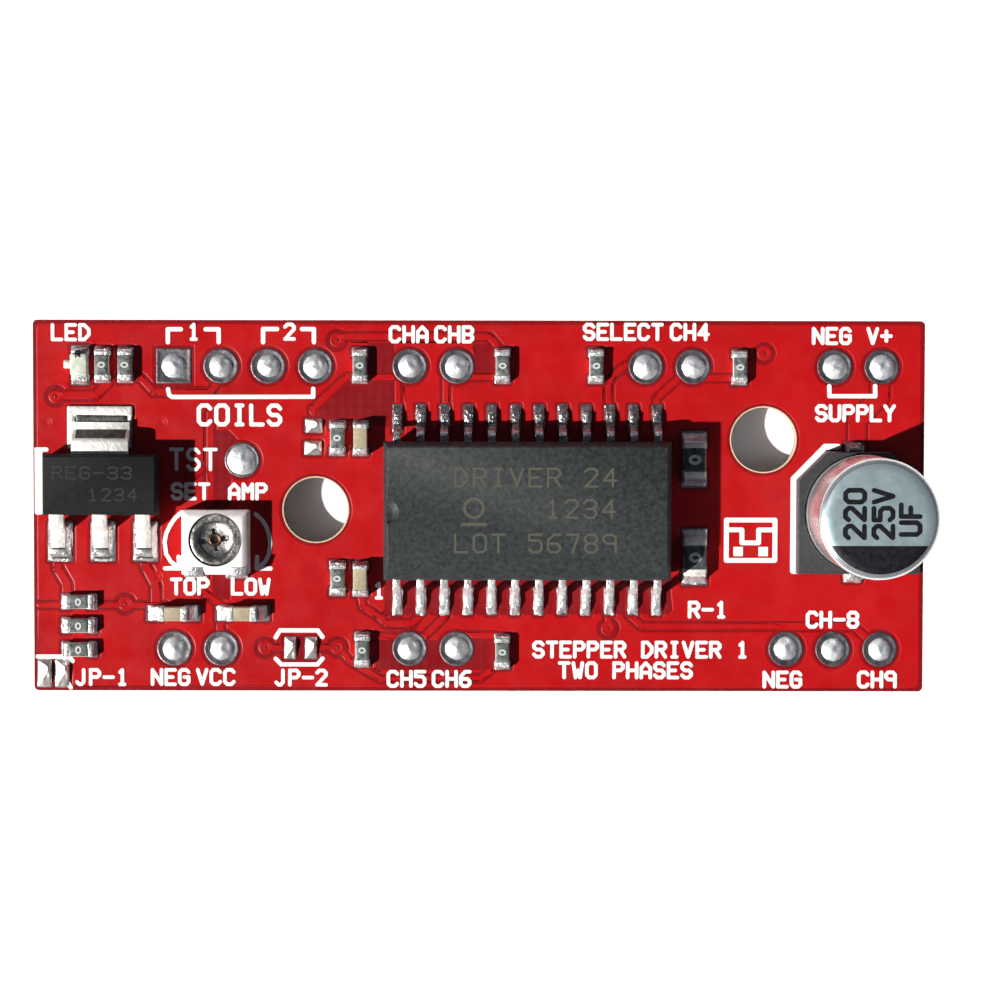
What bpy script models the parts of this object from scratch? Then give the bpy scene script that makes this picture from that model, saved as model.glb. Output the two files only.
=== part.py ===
"""Stepper motor driver module: a red circuit board that carries a 24-lead driver chip, a voltage regulator,
a can capacitor, a current-setting trimmer and small chip parts, with solder-filled terminal holes on both long edges.

Frame: origin at the middle of the board's underside, +X along the board towards the can capacitor, +Z up.
The only moving piece is the trimmer's rotor, which turns about a vertical axis.
"""

import math

import bmesh
import bpy
from mathutils import Matrix, Vector

MM = 0.001

# Board
BOARD_LENGTH = 48.0 * MM
BOARD_WIDTH = 20.0 * MM
BOARD_THICKNESS = 1.6 * MM
BOARD_CORNER = 0.25 * MM
MOUNT_HOLES = ((-8.79 * MM, -0.20 * MM), (15.32 * MM, 3.61 * MM))
MOUNT_HOLE_RADIUS = 1.80 * MM

# Terminal holes: two rows on one 2.54 mm grid, each filled with solder that stands up as a dome
PITCH = 2.54 * MM
FIRST_TERMINAL_X = -16.50 * MM
BACK_ROW_Y = 7.53 * MM
FRONT_ROW_Y = BACK_ROW_Y - 6 * PITCH
BACK_ROW = (0, 1, 2, 3, 5, 6, 10, 11, 14, 15)
FRONT_ROW = (0, 1, 5, 6, 13, 14, 15)
TEST_TERMINAL = (-12.75 * MM, 2.47 * MM)
DOME_RADIUS = 0.88 * MM
DOME_HEIGHT = 0.34 * MM

# Gaps that keep separate pieces apart
SEAT_GAP = 0.05 * MM
FIT_GAP = 0.02 * MM

# Driver chip: 24 gull-wing leads on a 1.27 mm pitch, the middle four fused to the ground plate
IC_CENTRE = (2.60 * MM, -0.06 * MM)
IC_BODY = (15.4 * MM, 7.5 * MM)
IC_BODY_FOOT = 0.12 * MM
IC_BODY_TOP = 2.50 * MM
IC_DRAFT = 0.20 * MM
IC_EDGE_BEVEL = 0.42 * MM
IC_LEAD_PITCH = 1.27 * MM
IC_LEADS_PER_SIDE = 12
IC_GROUND_LEADS = (6, 7, 18, 19)
IC_LEAD_WIDTH = 0.41 * MM
IC_LEAD_THICKNESS = 0.25 * MM
IC_SPAN = 10.3 * MM
IC_LEAD_HEIGHT = 1.28 * MM
IC_LEAD_GRIP = 1.1 * MM
IC_PADDLE = (4.6 * MM, 4.2 * MM)
IC_DIE = (3.2 * MM, 2.8 * MM, 0.30 * MM)
IC_NOTCH_RADIUS = 0.68 * MM
IC_NOTCH_DEPTH = 0.12 * MM

# Voltage regulator: wide tab at the back, three leads at the front
REG_CENTRE = (-20.28 * MM, 1.20 * MM)
REG_BODY = (6.5 * MM, 3.5 * MM)
REG_BODY_FOOT = 0.08 * MM
REG_BODY_TOP = 1.68 * MM
REG_DRAFT = 0.16 * MM
REG_SPAN = 7.0 * MM
REG_LEAD_PITCH = 2.3 * MM
REG_LEAD_WIDTH = 0.74 * MM
REG_TAB_WIDTH = 3.05 * MM
REG_LEAD_THICKNESS = 0.28 * MM
REG_LEAD_HEIGHT = 0.92 * MM
REG_GRIP = 0.75 * MM
REG_DIE = (1.7 * MM, 1.2 * MM, 0.22 * MM)

# Can capacitor, standing on a square base with two cut corners on its positive side
CAP_CENTRE = (20.40 * MM, -0.30 * MM)
CAP_BASE_SIDE = 6.6 * MM
CAP_BASE_CUT = 1.55 * MM
CAP_BASE_FLOOR = 0.55 * MM
CAP_POST_TOP = 1.25 * MM
CAP_RADIUS = 3.15 * MM
CAP_TOP = 7.7 * MM
CAP_WALL = 0.22 * MM
CAP_SHOULDER = 0.42 * MM
CAP_BEAD_HEIGHT = 1.95 * MM
CAP_BEAD_DEPTH = 0.26 * MM
CAP_LEAD_PITCH = 2.2 * MM
CAP_WIRE_RADIUS = 0.24 * MM
CAP_STRIP = (0.66 * MM, 0.20 * MM)
CAP_LEAD_REACH = 3.62 * MM
CAP_BUNG_TOP = 2.55 * MM

# Trimmer: open square housing with a round well, and a slotted metal rotor held by a hollow rivet
TRIM_CENTRE = (-14.12 * MM, -1.92 * MM)
TRIM_BODY = (3.62 * MM, 3.46 * MM)
TRIM_TOP = 1.22 * MM
TRIM_AXIS_OFFSET_Y = 0.14 * MM
TRIM_WELL_RADIUS = 1.52 * MM
TRIM_WELL_FLOOR = 0.62 * MM
TRIM_ROTOR_RADIUS = 1.45 * MM
TRIM_ROTOR_FOOT = 0.70 * MM
TRIM_ROTOR_TOP = 1.16 * MM
TRIM_BOWL_RADIUS = 1.08 * MM
TRIM_BOWL_FLOOR = 0.90 * MM
TRIM_SLOT_WIDTH = 0.36 * MM
TRIM_SLOT_LENGTH = 1.86 * MM
TRIM_SLOT_FLOOR = 0.78 * MM
TRIM_RIVET_RADIUS = 0.30 * MM
TRIM_RIVET_BORE = 0.17 * MM
TRIM_RIVET_FLANGE = 0.42 * MM
TRIM_RUNNING_GAP = 0.04 * MM
TRIM_STRIP = 0.16 * MM
TRIM_TERMINAL_WIDTH = 1.10 * MM
TRIM_TERMINAL_X = 1.02 * MM
TRIM_TERMINAL_RISE = 0.72 * MM

# Chip parts: (length, width, height, end cap length)
CHIP_RESISTOR = (1.60 * MM, 0.80 * MM, 0.45 * MM, 0.30 * MM)
CHIP_CAPACITOR = (1.60 * MM, 0.80 * MM, 0.80 * MM, 0.35 * MM)
SENSE_RESISTOR = (2.05 * MM, 1.25 * MM, 0.60 * MM, 0.38 * MM)
END_CAP_STEP = 0.03 * MM
LED_SIZE = (1.60 * MM, 0.80 * MM)
LED_PLATE_TOP = 0.30 * MM
LED_LENS_LENGTH = 1.02 * MM
LED_TOP = 0.62 * MM
LED_LENS_DRAFT = 0.06 * MM

ALONG_X = 0.0
ALONG_Y = math.pi / 2

# name: (size, x, y, turn, material)
CHIPS = {
    "led_resistor": (CHIP_RESISTOR, -20.25, 7.58, ALONG_Y, "resistor_black"),
    "jumper_resistor": (CHIP_RESISTOR, -19.01, 7.58, ALONG_Y, "resistor_black"),
    "pullup_resistor_1": (CHIP_RESISTOR, -6.40, 7.56, ALONG_Y, "resistor_black"),
    "pullup_resistor_2": (CHIP_RESISTOR, 1.27, 7.56, ALONG_Y, "resistor_black"),
    "pullup_resistor_3": (CHIP_RESISTOR, 6.30, 7.56, ALONG_Y, "resistor_black"),
    "pullup_resistor_4": (CHIP_RESISTOR, 14.02, 7.50, ALONG_Y, "resistor_black"),
    "pullup_resistor_5": (CHIP_RESISTOR, -6.28, -7.76, ALONG_Y, "resistor_black"),
    "pullup_resistor_6": (CHIP_RESISTOR, 1.28, -7.86, ALONG_Y, "resistor_black"),
    "timing_resistor_back": (CHIP_RESISTOR, -7.62, 3.67, ALONG_Y, "resistor_black"),
    "timing_capacitor_back": (CHIP_CAPACITOR, -6.36, 3.66, ALONG_Y, "ceramic_tan"),
    "timing_resistor_front": (CHIP_RESISTOR, -7.62, -3.90, ALONG_Y, "resistor_black"),
    "timing_capacitor_front": (CHIP_CAPACITOR, -6.38, -3.94, ALONG_Y, "ceramic_tan"),
    "sense_resistor_back": (SENSE_RESISTOR, 11.60, 2.54, ALONG_Y, "resistor_black"),
    "sense_resistor_front": (SENSE_RESISTOR, 11.64, -2.72, ALONG_Y, "resistor_black"),
    "feedback_resistor_1": (CHIP_RESISTOR, -21.55, -5.18, ALONG_X, "resistor_black"),
    "feedback_resistor_2": (CHIP_RESISTOR, -21.55, -6.47, ALONG_X, "resistor_black"),
    "feedback_resistor_3": (CHIP_RESISTOR, -21.55, -7.76, ALONG_X, "resistor_black"),
    "supply_capacitor_1": (CHIP_CAPACITOR, -16.47, -5.80, ALONG_X, "ceramic_tan"),
    "supply_capacitor_2": (CHIP_CAPACITOR, -12.74, -5.80, ALONG_X, "ceramic_tan"),
}
LED_PLACE = (-21.44 * MM, 7.56 * MM)

# Facets on round shapes
HOLE_SEGMENTS = 40
DOME_SEGMENTS = 20
DOME_RINGS = 3
CAN_SEGMENTS = 48
ROTOR_SEGMENTS = 40
RIVET_SEGMENTS = 20
BEND_STEPS = 3
OVERSHOOT = 0.5 * MM

# name: (colour, roughness, metallic)
FINISHES = {
    "solder_mask_red": ((0.62, 0.02, 0.02), 0.35, 0.0),
    "mould_black": ((0.045, 0.05, 0.05), 0.6, 0.0),
    "tin_plate": ((0.75, 0.75, 0.74), 0.3, 1.0),
    "silicon": ((0.12, 0.12, 0.14), 0.25, 0.4),
    "can_aluminium": ((0.62, 0.68, 0.70), 0.3, 1.0),
    "base_grey": ((0.10, 0.10, 0.10), 0.6, 0.0),
    "bung_rubber": ((0.03, 0.03, 0.03), 0.8, 0.0),
    "winding_paper": ((0.55, 0.45, 0.30), 0.8, 0.0),
    "trimmer_ceramic": ((0.80, 0.76, 0.72), 0.5, 0.0),
    "rotor_steel": ((0.55, 0.54, 0.52), 0.3, 1.0),
    "resistor_black": ((0.10, 0.10, 0.10), 0.4, 0.0),
    "ceramic_tan": ((0.55, 0.46, 0.34), 0.5, 0.0),
    "led_lens": ((0.85, 0.88, 0.72), 0.3, 0.0),
}


def clear_scene():
    for obj in list(bpy.data.objects):
        bpy.data.objects.remove(obj, do_unlink=True)


def finish_of(name):
    """The material of this finish, made on first use."""
    found = bpy.data.materials.get(name)
    if found:
        return found
    colour, roughness, metallic = FINISHES[name]
    made = bpy.data.materials.new(name)
    made.use_nodes = True
    shader = made.node_tree.nodes["Principled BSDF"]
    shader.inputs["Base Color"].default_value = (*colour, 1.0)
    shader.inputs["Roughness"].default_value = roughness
    shader.inputs["Metallic"].default_value = metallic
    return made


def anchor(name, place, height=BOARD_THICKNESS):
    """An empty on the board's top face that the pieces of one component hang from."""
    empty = bpy.data.objects.new(name, None)
    empty.location = (place[0], place[1], height)
    bpy.context.scene.collection.objects.link(empty)
    return empty


def new_object(name, bm, finish=None, parent=None, smooth=False):
    """Makes an object from a bmesh. With no finish it is a helper, which the build leaves out."""
    bmesh.ops.recalc_face_normals(bm, faces=bm.faces)
    mesh = bpy.data.meshes.new(name)
    bm.to_mesh(mesh)
    bm.free()
    obj = bpy.data.objects.new(name, mesh)
    bpy.context.scene.collection.objects.link(obj)
    obj.parent = parent
    if finish is None:
        obj.hide_render = True
        obj.display_type = "WIRE"
    else:
        mesh.materials.append(finish_of(finish))
    if smooth:
        mesh.shade_smooth()
        mesh.set_sharp_from_angle(angle=math.radians(35))
    return obj


def combine(obj, helper, operation):
    modifier = obj.modifiers.new(f"{operation.lower()} {helper.name}", "BOOLEAN")
    modifier.operation = operation
    modifier.solver = "EXACT"
    modifier.object = helper
    return obj


def cut(obj, *cutters):
    for cutter in cutters:
        combine(obj, cutter, "DIFFERENCE")
    return obj


def join(obj, *others):
    for other in others:
        combine(obj, other, "UNION")
    return obj


def add_box(bm, low, high):
    """A box between two corners."""
    size = [b - a for a, b in zip(low, high)]
    middle = [(a + b) / 2 for a, b in zip(low, high)]
    matrix = Matrix.Translation(middle) @ Matrix.Diagonal((*size, 1.0))
    bmesh.ops.create_cube(bm, size=1.0, matrix=matrix)


def box_mesh(*corner_pairs):
    """Separate boxes in one bmesh, each given by its low and high corners."""
    bm = bmesh.new()
    for low, high in corner_pairs:
        add_box(bm, low, high)
    return bm


def cylinder_mesh(radius, low, high, places=((0.0, 0.0),), segments=HOLE_SEGMENTS):
    """Upright cylinders of one size, one at each place."""
    bm = bmesh.new()
    for x, y in places:
        bmesh.ops.create_cone(
            bm,
            cap_ends=True,
            segments=segments,
            radius1=radius,
            radius2=radius,
            depth=high - low,
            matrix=Matrix.Translation((x, y, (low + high) / 2)),
        )
    return bm


def prism_mesh(outline, low, high):
    """A flat outline in X and Y, extruded up from low to high."""
    bm = bmesh.new()
    face = bm.faces.new([bm.verts.new((x, y, low)) for x, y in outline])
    grown = bmesh.ops.extrude_face_region(bm, geom=[face])
    risen = [part for part in grown["geom"] if isinstance(part, bmesh.types.BMVert)]
    bmesh.ops.translate(bm, verts=risen, vec=(0.0, 0.0, high - low))
    return bm


def stacked_mesh(sections):
    """A solid through a stack of closed sections, each a list of points with the same count."""
    bm = bmesh.new()
    rings = [[bm.verts.new(point) for point in section] for section in sections]
    count = len(rings[0])
    for lower, upper in zip(rings, rings[1:]):
        for i in range(count):
            j = (i + 1) % count
            bm.faces.new((lower[i], lower[j], upper[j], upper[i]))
    bm.faces.new(list(reversed(rings[0])))
    bm.faces.new(rings[-1])
    return bm


def turned_mesh(profile, segments):
    """A solid of revolution about Z. The profile is a closed loop of (radius, height), off the axis or starting
    and ending on it."""
    bm = bmesh.new()
    points = [bm.verts.new((radius, 0.0, height)) for radius, height in profile]
    on_axis = profile[0][0] == 0.0 and profile[-1][0] == 0.0
    pairs = list(zip(points, points[1:]))
    if not on_axis:
        pairs.append((points[-1], points[0]))
    edges = [bm.edges.new(pair) for pair in pairs]
    bmesh.ops.spin(
        bm,
        geom=points + edges,
        cent=(0, 0, 0),
        axis=(0, 0, 1),
        angle=2 * math.pi,
        steps=segments,
        use_merge=True,
    )
    bmesh.ops.remove_doubles(bm, verts=bm.verts, dist=0.0001 * MM)
    return bm


def rounded_path(corners, radius):
    """A path through these corners with each inner corner turned on an arc."""
    points = [Vector(corners[0])]
    for before, corner, after in zip(corners, corners[1:], corners[2:]):
        corner = Vector(corner)
        back = (Vector(before) - corner).normalized()
        ahead = (Vector(after) - corner).normalized()
        half = back.angle(ahead) / 2
        reach = radius / math.tan(half)
        centre = corner + (back + ahead).normalized() * (radius / math.sin(half))
        start = corner + back * reach - centre
        end = corner + ahead * reach - centre
        turn = start.angle_signed(end)
        for step in range(BEND_STEPS + 1):
            angle = -turn * step / BEND_STEPS
            points.append(centre + Matrix.Rotation(angle, 2) @ start)
    points.append(Vector(corners[-1]))
    return points


def strip_mesh(path, thickness, width, middle_x=0.0):
    """A bent strip of sheet metal: a path in Y and Z given thickness, and width along X."""
    left, right = [], []
    for i, point in enumerate(path):
        ahead = (path[min(i + 1, len(path) - 1)] - point).normalized()
        behind = (point - path[max(i - 1, 0)]).normalized()
        along = (ahead + behind).normalized()
        normal = Vector((-along.y, along.x))
        reach = thickness / 2
        if ahead.length and behind.length:
            reach /= max(0.5, math.cos(ahead.angle(behind) / 2))
        left.append(point + normal * reach)
        right.append(point - normal * reach)
    outline = left + right[::-1]
    near = [(middle_x - width / 2, p.x, p.y) for p in outline]
    far = [(middle_x + width / 2, p.x, p.y) for p in outline]
    return stacked_mesh([near, far])


def gull_wing(inner_y, shoulder_y, span, height, thickness):
    """A lead's path from inside the body, out, down and along the board, in Y and Z."""
    foot_end = span / 2
    foot_start = shoulder_y + 0.42 * (foot_end - shoulder_y)
    foot_height = SEAT_GAP + thickness / 2
    corners = ((inner_y, height), (shoulder_y, height), (foot_start, foot_height), (foot_end, foot_height))
    return rounded_path(corners, 0.8 * thickness)


def rectangle(half_x, half_y, height, front_inset=0.0):
    """A level rectangle, as four points. front_inset pulls the front edge back."""
    front = -half_y + front_inset
    return [
        (-half_x, front, height),
        (half_x, front, height),
        (half_x, half_y, height),
        (-half_x, half_y, height),
    ]


def moulded_body(size, foot, top, middle, draft, front_bevel=0.0):
    """A moulded package: widest at its parting line, drawn in above and below, with an optional bevel on its front
    top edge."""
    half_x, half_y = size[0] / 2, size[1] / 2
    sections = [
        rectangle(half_x - draft, half_y - draft, foot),
        rectangle(half_x, half_y, middle),
        rectangle(half_x - 0.75 * draft, half_y - 0.75 * draft, top - max(front_bevel, 0.25 * (top - middle))),
        rectangle(half_x - draft, half_y - draft, top, front_bevel),
    ]
    return stacked_mesh(sections)


def terminal_places():
    """The middle of every solder-filled terminal hole."""
    back = [(FIRST_TERMINAL_X + n * PITCH, BACK_ROW_Y) for n in BACK_ROW]
    front = [(FIRST_TERMINAL_X + n * PITCH, FRONT_ROW_Y) for n in FRONT_ROW]
    return [*back, *front, TEST_TERMINAL]


def dome_profile():
    """Half of a solder dome's outline, from under the board's face up to its crown."""
    sphere = (DOME_RADIUS**2 + DOME_HEIGHT**2) / (2 * DOME_HEIGHT)
    spread = math.asin(DOME_RADIUS / sphere)
    root = (DOME_RADIUS, BOARD_THICKNESS - OVERSHOOT)
    arc = [
        (
            sphere * math.sin(spread * (1 - step / DOME_RINGS)),
            BOARD_THICKNESS + DOME_HEIGHT - sphere * (1 - math.cos(spread * (1 - step / DOME_RINGS))),
        )
        for step in range(DOME_RINGS)
    ]
    return [(0.0, root[1]), root, *arc, (0.0, BOARD_THICKNESS + DOME_HEIGHT)]


def build_board():
    half_x, half_y = BOARD_LENGTH / 2, BOARD_WIDTH / 2
    outline = []
    for corner, (sign_x, sign_y) in enumerate(((1, 1), (-1, 1), (-1, -1), (1, -1))):
        centre = (sign_x * (half_x - BOARD_CORNER), sign_y * (half_y - BOARD_CORNER))
        for step in range(BEND_STEPS + 1):
            angle = math.pi / 2 * (corner + step / BEND_STEPS)
            x = centre[0] + BOARD_CORNER * math.cos(angle)
            y = centre[1] + BOARD_CORNER * math.sin(angle)
            outline.append((x, y))
    board = new_object("circuit_board", prism_mesh(outline, 0.0, BOARD_THICKNESS), "solder_mask_red")
    holes = cylinder_mesh(MOUNT_HOLE_RADIUS, -OVERSHOOT, BOARD_THICKNESS + OVERSHOOT, MOUNT_HOLES)
    cut(board, new_object("mount hole cutter", holes))
    domes = bmesh.new()
    for x, y in terminal_places():
        one = turned_mesh(dome_profile(), DOME_SEGMENTS)
        bmesh.ops.translate(one, verts=one.verts, vec=(x, y, 0.0))
        piece = bpy.data.meshes.new("solder dome")
        one.to_mesh(piece)
        one.free()
        domes.from_mesh(piece)
        bpy.data.meshes.remove(piece)
    join(board, new_object("solder dome shapes", domes))


def ic_lead_path():
    """The path that every driver-chip lead follows, for the back row."""
    inner = IC_BODY[1] / 2 - IC_LEAD_GRIP
    shoulder = IC_BODY[1] / 2 + 0.42 * MM
    return gull_wing(inner, shoulder, IC_SPAN, IC_LEAD_HEIGHT, IC_LEAD_THICKNESS)


def lead_x(number):
    """Where a numbered lead stands along the chip: 1 to 12 on the front from the left, 13 to 24 back again."""
    place = number if number <= IC_LEADS_PER_SIDE else 2 * IC_LEADS_PER_SIDE + 1 - number
    return (place - (IC_LEADS_PER_SIDE + 1) / 2) * IC_LEAD_PITCH


def build_ic():
    ic = anchor("ic", IC_CENTRE)
    path = ic_lead_path()
    signal_pockets = []
    reach = IC_BODY[1] / 2 + OVERSHOOT
    pocket_half_width = IC_LEAD_WIDTH / 2 + FIT_GAP
    pocket_half_height = IC_LEAD_THICKNESS / 2 + FIT_GAP
    pocket_low = IC_LEAD_HEIGHT - pocket_half_height
    pocket_high = IC_LEAD_HEIGHT + pocket_half_height
    pocket_depth = IC_BODY[1] / 2 - IC_LEAD_GRIP - FIT_GAP
    for number in range(1, 2 * IC_LEADS_PER_SIDE + 1):
        if number in IC_GROUND_LEADS:
            continue
        front = number <= IC_LEADS_PER_SIDE
        x = lead_x(number)
        lead = new_object(
            f"ic_lead_{number:02d}", strip_mesh(path, IC_LEAD_THICKNESS, IC_LEAD_WIDTH), "tin_plate", ic, True
        )
        lead.location.x = x
        lead.rotation_euler.z = math.pi if front else 0.0
        near, far = sorted((-pocket_depth, -reach)) if front else (pocket_depth, reach)
        signal_pockets.append(
            ((x - pocket_half_width, near, pocket_low), (x + pocket_half_width, far, pocket_high))
        )

    middle = IC_LEAD_HEIGHT
    half_thick = IC_LEAD_THICKNESS / 2
    paddle_x, paddle_y = IC_PADDLE[0] / 2, IC_PADDLE[1] / 2
    paddle = box_mesh(((-paddle_x, -paddle_y, middle - half_thick), (paddle_x, paddle_y, middle + half_thick)))
    frame = new_object("ic_ground_plate", paddle, "tin_plate", ic)
    channels = []
    for number in IC_GROUND_LEADS:
        shape = strip_mesh([Vector((paddle_y - 0.3 * MM, middle)), *path[1:]], IC_LEAD_THICKNESS, IC_LEAD_WIDTH)
        lead = new_object(f"ground lead {number} shape", shape, None, ic)
        lead.location.x = lead_x(number)
        lead.rotation_euler.z = math.pi if number <= IC_LEADS_PER_SIDE else 0.0
        join(frame, lead)
    for number in IC_GROUND_LEADS[:2]:
        x = lead_x(number)
        pocket = ((x - pocket_half_width, -reach, pocket_low), (x + pocket_half_width, reach, pocket_high))
        channels.append(new_object(f"ground channel {number} cutter", box_mesh(pocket), None, ic))

    die_x, die_y, die_thick = IC_DIE
    die_foot = middle + half_thick + FIT_GAP
    die_shape = box_mesh(((-die_x / 2, -die_y / 2, die_foot), (die_x / 2, die_y / 2, die_foot + die_thick)))
    new_object("ic_die", die_shape, "silicon", ic)
    room = 2 * FIT_GAP
    paddle_room = box_mesh(
        (
            (-paddle_x - room, -paddle_y - room, middle - half_thick - room),
            (paddle_x + room, paddle_y + room, middle + half_thick + room),
        )
    )
    die_room = box_mesh(
        ((-die_x / 2 - room, -die_y / 2 - room, middle), (die_x / 2 + room, die_y / 2 + room, die_foot + die_thick + room))
    )
    notch_x = -IC_BODY[0] / 2 + IC_DRAFT
    notch = cylinder_mesh(
        IC_NOTCH_RADIUS, IC_BODY_TOP - IC_NOTCH_DEPTH, IC_BODY_TOP + OVERSHOOT, ((notch_x, 0.0),), RIVET_SEGMENTS
    )
    shape = moulded_body(IC_BODY, IC_BODY_FOOT, IC_BODY_TOP, IC_LEAD_HEIGHT, IC_DRAFT, IC_EDGE_BEVEL)
    body = new_object("ic_body", shape, "mould_black", ic)
    cut(
        body,
        new_object("signal pocket cutter", box_mesh(*signal_pockets), None, ic),
        *channels,
        new_object("ground plate cutter", paddle_room, None, ic),
        new_object("die cutter", die_room, None, ic),
        new_object("end notch cutter", notch, None, ic),
    )


def build_regulator():
    reg = anchor("regulator", REG_CENTRE)
    half_y = REG_BODY[1] / 2
    half_thick = REG_LEAD_THICKNESS / 2
    middle = REG_LEAD_HEIGHT
    path = gull_wing(half_y - REG_GRIP, half_y + 0.34 * MM, REG_SPAN, middle, REG_LEAD_THICKNESS)
    long_path = [Vector((-0.2 * MM, middle)), *path[1:]]
    pocket_low, pocket_high = middle - half_thick - FIT_GAP, middle + half_thick + FIT_GAP
    cutters = []
    for number, side in ((1, -1), (3, 1)):
        x = side * REG_LEAD_PITCH
        lead = new_object(
            f"regulator_lead_{number}",
            strip_mesh(path, REG_LEAD_THICKNESS, REG_LEAD_WIDTH),
            "tin_plate",
            reg,
            True,
        )
        lead.location.x = x
        lead.rotation_euler.z = math.pi
        half_width = REG_LEAD_WIDTH / 2 + FIT_GAP
        pocket = (
            (x - half_width, -half_y - OVERSHOOT, pocket_low),
            (x + half_width, -half_y + REG_GRIP + FIT_GAP, pocket_high),
        )
        cutters.append(new_object(f"regulator pocket {number} cutter", box_mesh(pocket), None, reg))

    frame = new_object(
        "regulator_tab_and_centre_lead",
        strip_mesh(long_path, REG_LEAD_THICKNESS, REG_TAB_WIDTH),
        "tin_plate",
        reg,
        True,
    )
    centre_lead = new_object(
        "centre lead shape", strip_mesh(long_path, REG_LEAD_THICKNESS, REG_LEAD_WIDTH), None, reg
    )
    centre_lead.rotation_euler.z = math.pi
    join(frame, centre_lead)
    tab_half = REG_TAB_WIDTH / 2 + FIT_GAP
    lead_half = REG_LEAD_WIDTH / 2 + FIT_GAP
    tab_room = ((-tab_half, -0.2 * MM - FIT_GAP, pocket_low), (tab_half, half_y + OVERSHOOT, pocket_high))
    lead_room = ((-lead_half, -half_y - OVERSHOOT, pocket_low), (lead_half, 0.0, pocket_high))
    cutters.append(new_object("regulator tab cutter", box_mesh(tab_room), None, reg))
    cutters.append(new_object("centre lead cutter", box_mesh(lead_room), None, reg))

    die_x, die_y, die_thick = REG_DIE
    die_middle_y = 0.5 * MM
    die_foot = middle + half_thick + FIT_GAP
    die_low = (-die_x / 2, die_middle_y - die_y / 2, die_foot)
    die_high = (die_x / 2, die_middle_y + die_y / 2, die_foot + die_thick)
    new_object("regulator_die", box_mesh((die_low, die_high)), "silicon", reg)
    room = 2 * FIT_GAP
    die_room = (
        (die_low[0] - room, die_low[1] - room, middle),
        (die_high[0] + room, die_high[1] + room, die_high[2] + room),
    )
    cutters.append(new_object("regulator die cutter", box_mesh(die_room), None, reg))
    shape = moulded_body(REG_BODY, REG_BODY_FOOT, REG_BODY_TOP, middle, REG_DRAFT)
    cut(new_object("regulator_body", shape, "mould_black", reg), *cutters)


def can_profile():
    """The can's section: rounded shoulder, flat top, a rolled bead near the foot and an inward curl under the bung."""
    outer, wall = CAP_RADIUS, CAP_WALL
    inner = outer - wall
    foot = CAP_BASE_FLOOR + SEAT_GAP
    bead, depth = CAP_BEAD_HEIGHT, CAP_BEAD_DEPTH
    half_bead = 0.30 * MM
    shoulder = [
        (
            outer - CAP_SHOULDER + CAP_SHOULDER * math.cos(angle),
            CAP_TOP - CAP_SHOULDER + CAP_SHOULDER * math.sin(angle),
        )
        for angle in (math.pi / 2 * step / 4 for step in range(5))
    ]
    outside = [
        (outer - 0.35 * MM, foot),
        (outer - 0.10 * MM, foot + 0.06 * MM),
        (outer, foot + 0.22 * MM),
        (outer, bead - half_bead),
        (outer - depth, bead - 0.08 * MM),
        (outer - depth, bead + 0.08 * MM),
        (outer, bead + half_bead),
        *shoulder,
        (0.0, CAP_TOP),
    ]
    inside = [
        (0.0, CAP_TOP - wall),
        (inner - 0.25 * MM, CAP_TOP - wall),
        (inner, CAP_TOP - wall - 0.25 * MM),
        (inner, bead + half_bead + 0.04 * MM),
        (inner - depth, bead + 0.12 * MM),
        (inner - depth, bead - 0.12 * MM),
        (inner, bead - half_bead - 0.04 * MM),
        (inner, foot + wall + 0.04 * MM),
        (outer - 0.35 * MM, foot + wall),
    ]
    return outside, inside


def build_can(parent):
    """The can is open at the foot, so its profile runs up the outside to the axis and back down the inside."""
    outside, inside = can_profile()
    bm = bmesh.new()
    rings = []
    for radius, height in (*outside, *inside):
        if radius == 0.0:
            rings.append([bm.verts.new((0.0, 0.0, height))])
            continue
        angles = (2 * math.pi * i / CAN_SEGMENTS for i in range(CAN_SEGMENTS))
        rings.append([bm.verts.new((radius * math.cos(a), radius * math.sin(a), height)) for a in angles])
    for lower, upper in zip(rings, [*rings[1:], rings[0]]):
        if len(lower) == 1 and len(upper) == 1:
            continue
        for i in range(CAN_SEGMENTS):
            j = (i + 1) % CAN_SEGMENTS
            if len(upper) == 1:
                bm.faces.new((lower[i], lower[j], upper[0]))
            elif len(lower) == 1:
                bm.faces.new((lower[0], upper[j], upper[i]))
            else:
                bm.faces.new((lower[i], lower[j], upper[j], upper[i]))
    new_object("capacitor_can", bm, "can_aluminium", parent, True)


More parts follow.
